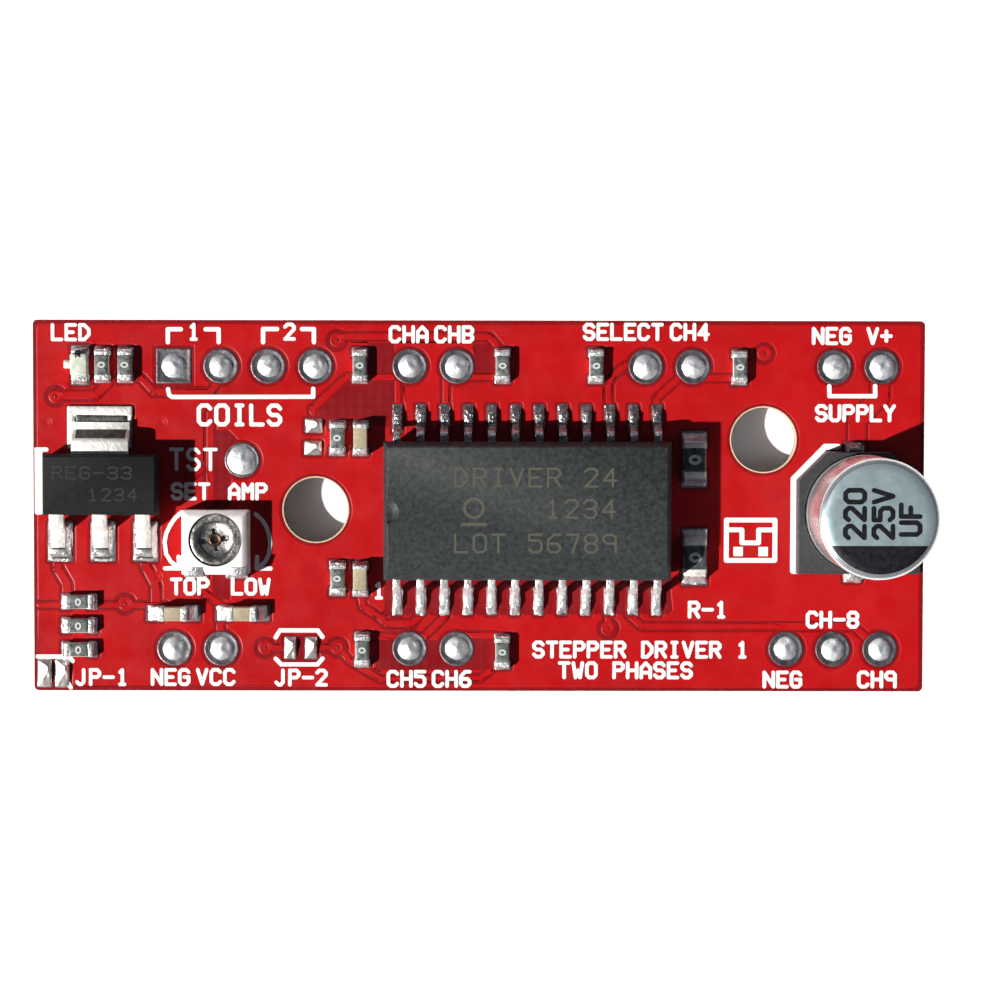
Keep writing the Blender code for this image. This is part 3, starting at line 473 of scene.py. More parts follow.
def roughen(bm, amount, size, seed=0):
    """Pushes points about by smooth noise."""
    offset = Vector((seed * 7.3, seed * 3.1, seed * 5.7))
    for vert in bm.verts:
        vert.co += noise.noise_vector(vert.co / size + offset) * amount
    return bm


# Flat shapes


def capsule(start, end, width, steps=6):
    """A straight stroke with round ends."""
    start, end = Vector(start), Vector(end)
    along = end - start
    heading = math.atan2(along.y, along.x)
    radius = width / 2
    points = []
    for middle, base in ((end, heading - math.pi / 2), (start, heading + math.pi / 2)):
        for step in range(steps + 1):
            angle = base + math.pi * step / steps
            points.append((middle.x + radius * math.cos(angle), middle.y + radius * math.sin(angle)))
    return points


def strokes(path, width, steps=6):
    """Capsules along a path."""
    return [capsule(a, b, width, steps) for a, b in zip(path, path[1:])]


def arrange(*groups):
    """Cuts the plane by outlines. Each group is (kind, outlines); where they overlap, the last one wins.
    Returns points and the triangles of each kind."""
    points, faces, owners = [], [], []
    for kind, outlines in groups:
        for outline in outlines:
            order = list(range(len(points), len(points) + len(outline)))
            points += [Vector(p) for p in outline]
            turn = sum(a[0] * b[1] - b[0] * a[1] for a, b in zip(outline, [*outline[1:], outline[0]]))
            faces.append(order if turn > 0 else order[::-1])
            owners.append(kind)
    coords, _, triangles, _, _, origins = delaunay_2d_cdt(points, [], faces, 1, 1e-6)
    kinds = {}
    for triangle, origin in zip(triangles, origins):
        if origin:
            kinds.setdefault(owners[max(origin)], []).append(triangle)
    return coords, kinds


def flat_solid(coords, triangles, low, high, slope=0.0):
    """Triangles in the plane made into a solid. A slope draws the upper rim in."""
    bm = bmesh.new()
    placed = {}
    for triangle in triangles:
        for i in triangle:
            if i not in placed:
                placed[i] = bm.verts.new((coords[i].x, coords[i].y, low))
        if len(set(triangle)) == 3:
            bm.faces.new([placed[i] for i in triangle])
    bmesh.ops.recalc_face_normals(bm, faces=bm.faces)
    for face in bm.faces:
        if face.normal.z < 0:
            face.normal_flip()
    border = [edge for edge in bm.edges if len(edge.link_faces) == 1]
    normals = {}
    for edge in border:
        along = (edge.verts[1].co - edge.verts[0].co).normalized()
        inward = Vector((-along.y, along.x, 0.0))
        if inward.dot(edge.link_faces[0].calc_center_median() - edge.verts[0].co) < 0:
            inward.negate()
        for vert in edge.verts:
            normals.setdefault(vert, []).append(inward)
    faces = list(bm.faces)
    used = dict.fromkeys(vert for face in faces for vert in face.verts)
    lower = {vert: bm.verts.new(vert.co) for vert in used}
    new_faces = []
    for edge in border:
        loop = edge.link_loops[0]
        a, b = loop.vert, loop.link_loop_next.vert
        new_faces.append((b, a, lower[a], lower[b]))
    new_faces += [[lower[v] for v in reversed(face.verts)] for face in faces]
    for corners in new_faces:
        bm.faces.new(corners)
    for vert in lower:
        vert.co.z = high
        if slope and vert in normals:
            mean = sum(normals[vert], Vector()) / len(normals[vert])
            vert.co += mean * slope / (mean.length_squared if mean.length > 0.35 else 1.0)
    return bm


# Lettering

# Strokes of each character, through points (column, row) of a grid four wide and six high
GLYPHS = {
    "A": "00 04 26 44 40, 02 42",
    "B": "00 06 36 45 44 33 42 41 30 00, 03 33",
    "C": "45 36 16 05 01 10 30 41",
    "D": "00 06 26 44 42 20 00",
    "E": "46 06 00 40, 03 33",
    "F": "46 06 00, 03 33",
    "G": "45 36 16 05 01 10 30 41 43 23",
    "H": "00 06, 40 46, 03 43",
    "I": "10 30, 20 26, 16 36",
    "J": "01 10 20 31 36",
    "L": "06 00 40",
    "M": "00 06 23 46 40",
    "N": "00 06 40 46",
    "O": "10 01 05 16 36 45 41 30 10",
    "P": "00 06 36 45 44 33 03",
    "R": "00 06 36 45 44 33 03, 23 40",
    "S": "45 36 16 05 04 13 33 42 41 30 10 01",
    "T": "06 46, 26 20",
    "U": "06 01 10 30 41 46",
    "V": "06 20 46",
    "W": "06 10 23 30 46",
    "Y": "06 23 46, 23 20",
    "0": "10 01 05 16 36 45 41 30 10",
    "1": "15 26 20, 10 30",
    "2": "05 16 36 45 44 00 40",
    "3": "05 16 36 45 44 33 42 41 30 10 01, 13 33",
    "4": "30 36 02 42",
    "5": "46 06 04 34 43 41 30 10 01",
    "6": "46 26 04 01 10 30 41 42 33 03",
    "7": "06 46 20",
    "8": "13 04 05 16 36 45 44 33 13 02 01 10 30 41 42 33",
    "9": "40 45 36 16 05 04 13 43",
    "+": "03 43, 21 25",
    "-": "03 43",
}


def text_shapes(text, x, y, height=0.78, advance=0.735, width=0.21, turn=0.0):
    """Strokes of a line of text centred on a point. Height and advance are between stroke centres."""
    cell = advance * 0.66 / 4
    rise = height / 6
    length = advance * (len(text) - 1) + cell * 4
    rotation = Matrix.Rotation(turn, 2)
    shapes = []
    for i, character in enumerate(text):
        for run in GLYPHS.get(character, "").split(","):
            path = []
            for column, row in run.split():
                local = Vector((i * advance + int(column) * cell - length / 2, int(row) * rise - height / 2))
                local = rotation @ local
                path.append((x + local.x, y + local.y))
            shapes += strokes(path, width, 5)
    return shapes


def print_piece(name, outlines, low, high, look):
    coords, kinds = arrange(("ink", outlines))
    piece(name, flat_solid(coords, kinds["ink"], low, high, 0.012), look)


# Board lettering: (words, x, y), and in places (height, advance, stroke). All words are generic stand-ins.
LABELS = {
    "lamp": [("LED", -21.94, 9.33)],
    "coil_1": [("1", -15.33, 9.36)],
    "coil_2": [("2", -10.18, 9.38)],
    "coils": [("COILS", -12.88, 4.90, 1.02, 0.94, 0.24)],
    "inputs_back": [("CHA", -3.78, 9.25), ("CHB", -1.33, 9.25)],
    "inputs_middle": [("SELECT", 7.76, 9.40), ("CH4", 11.34, 9.40)],
    "supply_poles": [("NEG", 18.98, 9.20), ("V+", 21.55, 9.20)],
    "supply": [("SUPPLY", 20.28, 5.05)],
    "test": [("TST", -15.37, 2.50, 1.08, 0.92, 0.20)],
    "set_current": [("SET", -15.53, 0.78), ("AMP", -12.44, 0.78)],
    "set_high": [("TOP", -15.58, -4.36)],
    "set_low": [("LOW", -12.29, -4.36)],
    "corner_link": [("JP-1", -20.34, -9.27)],
    "logic_supply": [("NEG", -16.63, -9.26), ("VCC", -14.19, -9.25)],
    "front_link": [("JP-2", -9.58, -9.28)],
    "inputs_front": [("CH5", -3.89, -9.34), ("CH6", -1.45, -9.34)],
    "module_name": [("STEPPER DRIVER 1", 8.75, -7.74), ("TWO PHASES", 7.94, -8.86)],
    "revision": [("R-1", 12.37, -5.57)],
    "pulse": [("CH-8", 19.12, -6.10)],
    "inputs_right": [("NEG", 16.43, -9.35), ("CH9", 21.54, -9.34)],
    "lead_one": [("1", -5.38, -4.57, 0.78, 0.8, 0.20)],
}

BRACKETS = {
    "coil_1_bracket": [
        [(-16.72, 8.80), (-16.72, 9.50), (-16.02, 9.50)],
        [(-14.69, 9.50), (-13.99, 9.50), (-13.99, 8.81)],
    ],
    "coil_2_bracket": [
        [(-11.60, 8.81), (-11.60, 9.52), (-10.85, 9.52)],
        [(-9.51, 9.52), (-8.87, 9.52), (-8.87, 8.82)],
    ],
    "coils_bracket": [[(-16.72, 6.28), (-16.66, 5.96), (-16.50, 5.86), (-8.91, 5.88), (-8.91, 6.31)]],
    "supply_bracket": [[(18.86, 6.50), (18.87, 5.96), (21.34, 5.97), (21.33, 6.51)]],
    "front_link_outline": [
        [(-10.95, -7.10), (-10.72, -6.72), (-8.68, -6.72), (-8.42, -7.08)],
        [(-10.95, -8.26), (-10.66, -8.57), (-8.70, -8.57), (-8.42, -8.25)],
    ],
    "corner_link_outline": [
        [(-23.80, -8.16), (-22.10, -8.16), (-21.92, -8.40)],
        [(-22.19, -9.56), (-22.02, -9.84)],
    ],
    "regulator_outline": [
        [(-23.82, 3.02), (-23.28, 3.02)],
        [(-23.80, 2.9), (-23.80, -0.37), (-23.60, -0.37), (-23.60, 2.9)],
    ],
}
CAPACITOR_OUTLINE = {
    "capacitor_outline": [[(19.34, 3.24), (18.66, 3.24), (16.97, 1.50), (16.97, -3.46), (17.43, -3.46)]],
}
# Curved arrows beside the trimmer, pointing down and inwards at their ends
ARROWS = {
    "arrow_left": [
        [
            *[(-16.01, -0.35), (-16.36, -0.65), (-16.63, -1.05), (-16.85, -1.50)],
            *[(-16.94, -1.95), (-16.86, -2.6), (-16.62, -3.0), (-16.2, -3.36)],
        ],
        [(-16.92, -3.38), (-16.14, -3.38)],
        [(-16.18, -2.76), (-16.14, -3.38)],
    ],
    "arrow_right": [
        [
            *[(-12.03, -0.45), (-11.70, -0.75), (-11.45, -1.14), (-11.30, -1.60)],
            *[(-11.24, -2.05), (-11.32, -2.6), (-11.5, -3.0), (-11.9, -3.36)],
        ],
        [(-11.98, -3.38), (-11.22, -3.38)],
        [(-11.96, -2.76), (-11.98, -3.38)],
    ],
}
# A plain framed mark: two blocks under a step
MARK_FRAME = [(13.36, -2.90), (15.98, -2.90), (15.98, -0.72), (13.36, -0.72), (13.36, -2.90)]
MARK_STEP = [(13.36, -1.25), (14.2, -1.25), (14.2, -1.95), (15.1, -1.95), (15.1, -1.25), (15.98, -1.25)]


def board_print():
    """White lettering and outlines."""

    def ink(name, outlines):
        print_piece(f"print_{name}", outlines, LAMINATE_LEVEL + 0.02, PRINT_LEVEL, "white")

    for name, lines in LABELS.items():
        ink(name, [shape for line in lines for shape in text_shapes(*line)])
    for group, width in ((BRACKETS, 0.25), (CAPACITOR_OUTLINE, 0.34), (ARROWS, 0.24)):
        for name, paths in group.items():
            ink(name, [shape for path in paths for shape in strokes(path, width)])
    blocks = [rounded_rectangle(0.26, 0.26, 0.04, 2, x, -2.42) for x in (14.0, 15.35)]
    ink("plain_mark", [*strokes(MARK_FRAME, 0.27), *strokes(MARK_STEP, 0.27), *blocks])


# Board

# Copper tracks: (path, width), in mm
TRACKS = [
    ([(-22.78, 5.94), (-20.61, 5.94), (-19.93, 6.59)], 0.42),
    ([(-18.60, 7.10), (-18.21, 6.9), (-17.49, 6.12), (-14.40, 6.12), (-13.98, 6.77)], 0.36),
    ([(-8.94, 5.05), (-8.94, 5.25), (-7.09, 6.96), (-6.4, 6.96)], 0.36),
    ([(-7.61, 8.97), (-7.40, 9.13), (0.56, 9.13), (1.1, 8.5)], 0.34),
    ([(-6.40, 6.96), (-4.36, 6.96), (-3.79, 7.53)], 0.36),
    ([(-4.36, 6.96), (-4.36, 5.2)], 0.34),
    ([(-1.78, 7.0), (-1.78, 5.2)], 0.34),
    ([(-1.26, 6.98), (1.2, 6.98)], 0.34),
    ([(8.90, 7.6), (7.91, 7.62), (7.19, 7.01), (7.0, 6.62), (7.0, 5.2)], 0.34),
    ([(11.4, 7.5), (9.58, 5.83), (9.55, 5.2)], 0.34),
    ([(11.44, 6.93), (13.9, 6.93)], 0.34),
    ([(-22.72, -2.6), (-22.70, -3.40), (-22.21, -4.25), (-22.21, -5.1)], 0.5),
    ([(-18.09, -2.6), (-17.95, -3.30), (-17.43, -4.30), (-17.43, -5.7)], 0.5),
    ([(-23.7, -5.36), (-16.9, -5.36)], 0.30),
    ([(-14.45, 5.0), (-14.48, 0.03)], 0.42),
    ([(-14.95, 2.0), (-15.6, 1.5)], 0.36),
    ([(-15.1, -4.45), (-14.67, -4.81), (-13.6, -5.6)], 0.34),
    ([(-6.41, -4.7), (-6.23, -5.45), (-5.50, -5.88), (-4.98, -6.34), (-3.55, -6.34), (-3.1, -5.8)], 0.36),
    ([(-1.78, -5.5), (-1.78, -5.93), (-2.9, -7.05), (-5.9, -7.06)], 0.34),
    ([(-11.44, -7.65), (-10.2, -7.68)], 0.36),
    ([(-8.98, -7.65), (-7.60, -7.64), (-6.97, -8.36), (-5.25, -9.36), (0.07, -9.30), (0.6, -8.95)], 0.34),
    ([(-1.26, -6.97), (0.9, -6.97)], 0.34),
    ([(8.1, -5.3), (8.1, -5.83), (8.82, -6.48), (15.79, -6.48), (20.3, -6.48), (21.2, -7.3)], 0.36),
    ([(7.0, -5.3), (7.01, -6.57)], 0.34),
    ([(20.38, 3.0), (20.38, 4.7), (21.6, 5.9), (21.6, 7.4)], 0.95),
    ([(-13.95, -6.2), (-13.95, -7.3)], 0.42),
]

# Areas with no copper under the mask, in mm
BARE_AREAS = [
    [(-6.0, 7.12), (-4.55, 7.12), (-4.55, 8.80), (-6.0, 8.80)],
    [(-7.0, 6.76), (-4.56, 6.76), (-4.56, 4.3), (-8.6, 4.3), (-8.6, 5.3)],
    [(-0.28, 7.14), (1.0, 7.14), (1.0, 8.76), (-0.28, 8.76)],
    [(-14.2, 4.09), (-13.48, 4.09), (-12.9, 3.5), (-13.3, 1.6), (-13.5, -0.02), (-14.2, -0.02)],
    [(-14.35, -3.66), (-13.41, -3.66), (-13.41, -5.03), (-14.35, -5.03)],
    [(-5.5, -7.25), (0.9, -7.25), (0.9, -8.84), (-5.5, -8.84)],
    [(-5.05, -3.9), (10.3, -3.9), (10.46, -5.6), (10.3, -5.79), (-5.05, -5.83)],
    [(-10.62, -6.98), (-10.62, -8.36), (-8.62, -8.36), (-8.62, -6.98)],
]

VIAS = [
    (-22.76, 5.89, True),
    (-23.27, 4.44, False),
    (-17.06, 4.45, False),
    (-19.05, -5.30, True),
    (-17.34, -3.84, False),
    (-7.62, 8.93, True),
    (15.35, 8.26, True),
    (7.01, -6.60, True),
    (-11.50, -7.65, True),
    (-7.60, -7.64, True),
]

CHIPS = {
    "small": [
        "led_resistor",
        "jumper_resistor",
        *[f"pullup_resistor_{n}" for n in range(1, 7)],
        "timing_resistor_back",
        "timing_resistor_front",
        *[f"feedback_resistor_{n}" for n in range(1, 4)],
    ],
    "sense": ["sense_resistor_back", "sense_resistor_front"],
    "timing": ["timing_capacitor_back", "timing_capacitor_front"],
    "supply": ["supply_capacitor_1", "supply_capacitor_2"],
}
# Of each kind: the pads' distance from the middle, the pads' and the solder's half sizes, and the distance,
# half size and height of the solder's top, in mm
CHIP_ENDS = {
    "small": (0.72, (0.27, 0.45), (0.26, 0.44), 0.72, (0.12, 0.36), 0.36),
    "sense": (1.04, (0.50, 0.70), (0.48, 0.68), 0.90, (0.16, 0.56), 0.40),
    "timing": (0.72, (0.26, 0.45), (0.25, 0.44), 0.70, (0.14, 0.38), 0.50),
    "supply": (0.98, (0.48, 0.45), (0.47, 0.43), 0.80, (0.12, 0.36), 0.46),
}


def centre_of(node):
    """A CAD node's middle and half sizes, in mm."""
    low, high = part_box(node)
    return (low + high) / 2 / MM, (high - low) / 2 / MM


class Chip:
    """A chip part's place: its middle, half length and width, levels, and turn about Z."""

    def __init__(self, node):
        self.node = node
        self.middle, half = centre_of(node)
        self.turn = math.pi / 2 if half.y > half.x else 0.0
        self.long, self.wide = max(half.x, half.y), min(half.x, half.y)
        self.low, self.high = self.middle.z - half.z, self.middle.z + half.z

    def put(self, bm, x=0.0, y=0.0):
        return moved(bm, self.middle.x + x, self.middle.y + y, 0.0, self.turn)


# Pads that carry no part: (x, y, half x, half y)
BARE_PADS = [(-8.90, 4.33, 0.48, 0.40), (-8.94, 3.12, 0.48, 0.40)]
LINK_PADS = [(-10.17, -7.68, 0.34, 0.62), (-9.05, -7.68, 0.34, 0.62)]
LINK_PADS += [(-23.44, -9.06, 0.40, 0.78), (-22.48, -9.06, 0.40, 0.78)]


def chip_pads():
    pads = []
    for group, names in CHIPS.items():
        reach, (half_long, half_wide), *_ = CHIP_ENDS[group]
        for chip in map(Chip, names):
            for side in SIDES:
                if chip.turn:
                    pads.append((chip.middle.x, chip.middle.y + side * reach, half_wide, half_long))
                else:
                    pads.append((chip.middle.x + side * reach, chip.middle.y, half_long, half_wide))
    lamp_middle, _ = centre_of("power_led")
    pads += [(lamp_middle.x, lamp_middle.y + side * 0.76, 0.50, 0.32) for side in SIDES]
    return pads


def lead_places():
    """Where the driver chip's leads leave it, column by column: (x, side)."""
    middle, _ = centre_of("ic_body")
    return [(middle.x + (n - 5.5) * LEAD_PITCH, side) for n in range(12) for side in SIDES]


def large_pads():
    """The pads of the regulator, the capacitor and the trimmer."""
    nodes = ("regulator_body", "capacitor_base", "trimmer_housing")
    chip, can, knob = (centre_of(node)[0] for node in nodes)
    leads = [(chip.x + n * REGULATOR_PITCH + 0.02, chip.y - 3.12, 0.68, 1.10) for n in (-1, 0, 1)]
    tab = (chip.x - 0.10, chip.y + 3.02, 1.72, 1.14)
    poles = [(can.x - 0.22, can.y + side * 2.95, 0.50, 0.86) for side in SIDES]
    ends = [(knob.x + side * 1.08, knob.y - 1.68, 0.62, 0.34) for side in SIDES]
    return [*leads, tab, *poles, *ends]


TERMINALS = [(FIRST_X + n * PITCH, BACK_Y) for n in BACK_ROW]
TERMINALS += [(FIRST_X + n * PITCH, FRONT_Y) for n in FRONT_ROW]
TERMINALS += [TEST_POINT]


def terminal_outline(index, margin):
    """A terminal's pad in plan: the first one is square."""
    x, y = TERMINALS[index]
    half = TERMINAL_PAD + margin
    return circle(x, y, half, 40) if index else rounded_rectangle(half, half, 0.06, 2, x, y)


def terminal_outlines(margin):
    return [terminal_outline(i, margin) for i in range(len(TERMINALS))]


def discs(places, radius, segments):
    return [circle(x, y, radius, segments) for x, y in places]


def grown(pads, margin):
    """The outlines of rectangular pads with a margin round them."""
    corner = margin + 0.06
    return [rounded_rectangle(long + margin, wide + margin, corner, 2, x, y) for x, y, long, wide in pads]


def tracks(margin):
    return [outline for path, width in TRACKS for outline in strokes(path, width + margin)]


def board_layers():
    """The laminate, both mask levels above it, the mask below, and the pads."""
    body = ("body", [rounded_rectangle(HALF_LENGTH, HALF_WIDTH, BOARD_CORNER, 4)])
    holes = ("hole", discs(MOUNT_HOLES, HOLE_RADIUS, 72))
    drills = ("hole", discs([(x, y) for x, y, _ in VIAS], 0.26, 20))
    coords, kinds = arrange(body, holes)
    core = flat_solid(coords, kinds["body"], CORE_LOW, CORE_HIGH)
    piece("board_laminate", core, "laminate", replaces=["circuit_board"])
    rims = ("rim", discs(MOUNT_HOLES, HOLE_RADIUS + 0.03, 72))
    coords, kinds = arrange(rims, ("hole", discs(MOUNT_HOLES, HOLE_RADIUS - HOLE_RIM, 72)))
    rim = flat_solid(coords, kinds["rim"], CORE_HIGH - 0.12, LAMINATE_LEVEL + 0.004, 0.03)
    piece("mounting_hole_rims", rim, "bare_laminate", smooth=40)
    coords, kinds = arrange(body, holes, drills)
    mask = flat_solid(coords, kinds["body"], CORE_HIGH, LAMINATE_LEVEL, 0.02)
    piece("board_mask_over_laminate", mask, "mask_laminate")
    coords, kinds = arrange(body, holes, ("pad", discs(TERMINALS, TERMINAL_PAD, 28)), drills)
    below = flat_solid(coords, kinds["body"], 0.0, CORE_LOW)
    piece("board_mask_below", below, "mask_copper")
    piece("board_pads_below", flat_solid(coords, kinds["pad"], 0.005, CORE_LOW), "pad")

    surface = [*chip_pads(), *large_pads(), *BARE_PADS, *LINK_PADS]
    chip_y = centre_of("ic_body")[0].y + CHIP_SHIFT
    leads = [(x, chip_y + side * LEAD_REACH, 0.28, 0.78) for x, side in lead_places()]
    ringed = [(x, y) for x, y, ring in VIAS if ring]
    coords, kinds = arrange(
        ("copper", [rounded_rectangle(HALF_LENGTH - POUR_INSET, HALF_WIDTH - POUR_INSET, 0.3)]),
        ("bare", [*BARE_AREAS, *discs(ringed, 0.62, 24), *tracks(0.26)]),
        ("bare", [*grown([*surface, *leads], 0.13), *terminal_outlines(0.16)]),
        ("bare", discs(MOUNT_HOLES, HOLE_RADIUS + 0.14, 48)),
        ("copper", [*tracks(0.0), *discs(ringed, 0.40, 20)]),
        ("bare", [*grown([*surface, *leads], 0.05), *terminal_outlines(0.04)]),
        holes,
        drills,
    )
    raised = flat_solid(coords, kinds["copper"], LAMINATE_LEVEL, COPPER_LEVEL, MASK_SLOPE)
    piece("board_mask_over_copper", raised, "mask_copper")
    for name, pads in (("surface_pads", surface), ("driver_chip_pads", leads)):
        slabs = [stack((outline, z) for z in (LAMINATE_LEVEL, PAD_LEVEL)) for outline in grown(pads, 0.0)]
        soften(piece(name, merged(*slabs), "pad", smooth=28), 0.012, 1, 28).harden_normals = True

    tents, dots = [], []
    for x, y, ring in VIAS:
        rim = COPPER_LEVEL + (0.003 if ring else -0.004)
        profile = [(0.0, CORE_HIGH + 0.004), (0.30, CORE_HIGH + 0.004), (0.30, rim - 0.006), (0.25, rim)]
        profile += [(0.19, rim - 0.002), (0.13, rim - 0.014), (0.06, rim - 0.022), (0.0, rim - 0.024)]
        tents.append(moved(turned(profile, 24), x, y))
        if ring:
            # Darker middles: partly the real mask over the drill, partly painted shade of the dimple.
            dot = [(0.0, rim - 0.030), (0.12, rim - 0.030), (0.10, rim - 0.012)]
            dots.append(moved(turned([*dot, (0.05, rim - 0.018), (0.0, rim - 0.020)], 20), x, y))
    piece("tented_vias", merged(*tents), "mask_copper", smooth=60)
    piece("via_middles", merged(*dots), "mask_laminate", smooth=60)


def terminal_joints():
    """Tinned rings and the solder that fills each terminal hole."""
    rings, backs, fronts = [], [], []
    rng = random.Random(11)
    rims = ((0.0, 0.0), (0.0, 0.010), (-0.04, 0.022), (-0.09, 0.018), (-0.17, 0.0), (-0.24, -0.004))
    for i, (x, y) in enumerate(TERMINALS):
        layers = [(terminal_outline(i, -0.01), LAMINATE_LEVEL)]
        layers += [(terminal_outline(i, margin - 0.01), PAD_LEVEL + rise) for margin, rise in rims]
        rings.append(roughen(stack(layers), 0.012, 0.3, i + 40))
        radius = TERMINAL_DOME * rng.uniform(0.95, 1.05) + (0.14 if (x, y) == TEST_POINT else 0.0)
        crown = 0.27 * rng.uniform(0.9, 1.08)
        profile = [(0.0, PAD_LEVEL - 0.03), (radius + 0.03, PAD_LEVEL - 0.03)]
        for step in range(14):
            out = 1.0 - step / 14
            profile.append((radius * out, PAD_LEVEL + crown * (1.0 - out**2.6)))
        dome = turned([*profile, (0.0, PAD_LEVEL + crown)], 44)
        dent = Vector((0.34 + rng.uniform(-0.1, 0.1), 0.22 + rng.uniform(-0.12, 0.12), 0.0)) * radius
        for vert in dome.verts:
            away = (Vector((vert.co.x, vert.co.y, 0.0)) - dent).length / (0.46 * radius)
            if vert.co.z > PAD_LEVEL and away < 1.0:
                vert.co.z -= 0.07 * (1.0 - away**2) ** 2
        moved(roughen(dome, 0.03, 0.32, i + 1), x + rng.uniform(-0.02, 0.04), y + rng.uniform(-0.02, 0.02))
        (backs if i < len(BACK_ROW) else fronts).append(dome)
    piece("terminal_rings", merged(*rings), "pad", smooth=60)
    piece("terminal_solder_back", merged(*backs), "dome", smooth=70)
    piece("terminal_solder_front", merged(*fronts[:-1]), "dome", smooth=70)
    piece("test_terminal_solder", fronts[-1], "dome", smooth=70)


# Solder


def solder(name, *bms, look="solder"):
    """A piece of solder."""
    piece(name, merged(*bms), look, smooth=60)


def fillet(inner, outer, top, seed, curve=2.2, steps=6, rough=0.028):
    """Solder that climbs from a pad's outline to a part's end. Each outline is a rounded rectangle:
    (half x, half y, corner radius, x, y)."""
    inner_ring, outer_ring = (rounded_rectangle(*shape[:3], 3, *shape[3:], 4) for shape in (inner, outer))
    foot = PAD_LEVEL - 0.012
    layers = [(outer_ring, LAMINATE_LEVEL)]
    pairs = list(zip(outer_ring, inner_ring))
    for step in range(steps + 1):
        t = step / steps
        ring = [(ox + (ix - ox) * t, oy + (iy - oy) * t) for (ox, oy), (ix, iy) in pairs]
        layers.append((ring, foot + (top - foot) * t**curve))
    return roughen(stack(layers), rough, 0.3, seed)


def end_fillets(chip, reach, foot, end_reach, end, height, seed):
    """The solder at both ends of a chip part."""
    made = []
    for side in SIDES:
        outer = (*foot, 0.10, side * reach, 0.0)
        inner = (*end, 0.05, side * end_reach, 0.0)
        made.append(chip.put(fillet(inner, outer, chip.low + height, seed + side)))
    return made


def bare_pad_solder():
    """Solder left on the pads that carry no part."""
    for name, pads, height in (("open", BARE_PADS, 0.24), ("link", LINK_PADS, 0.26)):
        lumps = []
        for i, (x, y, half_x, half_y) in enumerate(pads):
            outer = (half_x, half_y, 0.10, x, y)
            inner = (half_x * 0.14, half_y * 0.20, 0.02, x + 0.52 * half_x, y + 0.30 * half_y)
            lumps.append(fillet(inner, outer, PAD_LEVEL + height, 60 + i, 0.95, 8, 0.03))
        piece(f"{name}_pad_solder", merged(*lumps), "wedge", smooth=70)


# Chip parts


def end_caps(long, wide, low, high, depth, soft=0.08, swell=0.012):
    """Plated end caps that wrap a chip part."""
    caps = []
    for side in SIDES:
        cap = soft_block(depth / 2 + swell, wide + swell, low - swell, high + swell, 0.06, soft)
        caps.append(moved(cap, side * (long - depth / 2)))
    return merged(*caps)


def chip_mark(chip, size):
    """A round value mark in the middle of a chip resistor."""
    path = []
    for i in range(17):
        angle = 2 * math.pi * i / 16
        spot = Vector((0.12 * size * math.cos(angle), 0.16 * size * math.sin(angle)))
        spot.rotate(Matrix.Rotation(chip.turn, 2))
        path.append((chip.middle.x + spot.x, chip.middle.y + spot.y))
    return strokes(path, 0.12 * size)


def chip_resistor(chip, seed, coat_look="glaze", end_look="front_tin", depth=0.28):
    long, wide, low, high = chip.long, chip.wide, chip.low, chip.high
    block = chip.put(soft_block(long - 0.06, wide - 0.03, low + 0.01, high - 0.05, 0.03, 0.02))
    piece(f"{chip.node}_ceramic", block, "alumina", replaces=[chip.node])
    caps = roughen(end_caps(long - 0.03, wide - 0.02, low, high - 0.03, depth), 0.035, 0.22, seed)
    piece(f"{chip.node}_ends", chip.put(caps), end_look, smooth=60)
    coat = pillow(long - depth + 0.02, wide - 0.05, high - 0.08, high - 0.03, 0.06)
    coat = roughen(coat, 0.02, 0.28, seed + 3)
    piece(f"{chip.node}_glaze", chip.put(coat), coat_look, smooth=70)


def chip_capacitor(chip, seed, depth):
    long, wide, low, high = chip.long, chip.wide, chip.low, chip.high
    block = soft_block(long - 0.03, wide - 0.03, low + 0.01, high - 0.03, 0.06, 0.05)
    block = roughen(block, 0.006, 0.3, seed)
    piece(f"{chip.node}_ceramic", chip.put(block), "tan", replaces=[chip.node], smooth=50)
    caps = roughen(end_caps(long - 0.02, wide - 0.02, low, high - 0.02, depth), 0.03, 0.24, seed)
    piece(f"{chip.node}_ends", chip.put(caps), "front_tin", smooth=50)


def chip_parts():
    joints = []
    seed = 20
    for group, names in CHIPS.items():
        reach, _, *ends = CHIP_ENDS[group]
        for chip in map(Chip, names):
            seed += 5
            if group == "small":
                chip_resistor(chip, seed)
            elif group == "sense":
                chip_resistor(chip, seed, "gloss_glaze", "tab", 0.40)
            else:
                chip_capacitor(chip, seed, 0.34 if group == "supply" else 0.24)
            joints += end_fillets(chip, reach, *ends, seed)
    solder("chip_solder_joints", *joints)
    for group, size in (("small", 1.0), ("sense", 1.6)):
        chips = [Chip(name) for name in CHIPS[group]]
        marks = [outline for chip in chips for outline in chip_mark(chip, size)]
        top = chips[-1].high
        print_piece(f"{group}_chip_marks", marks, top, top + 0.045, "chip_mark")


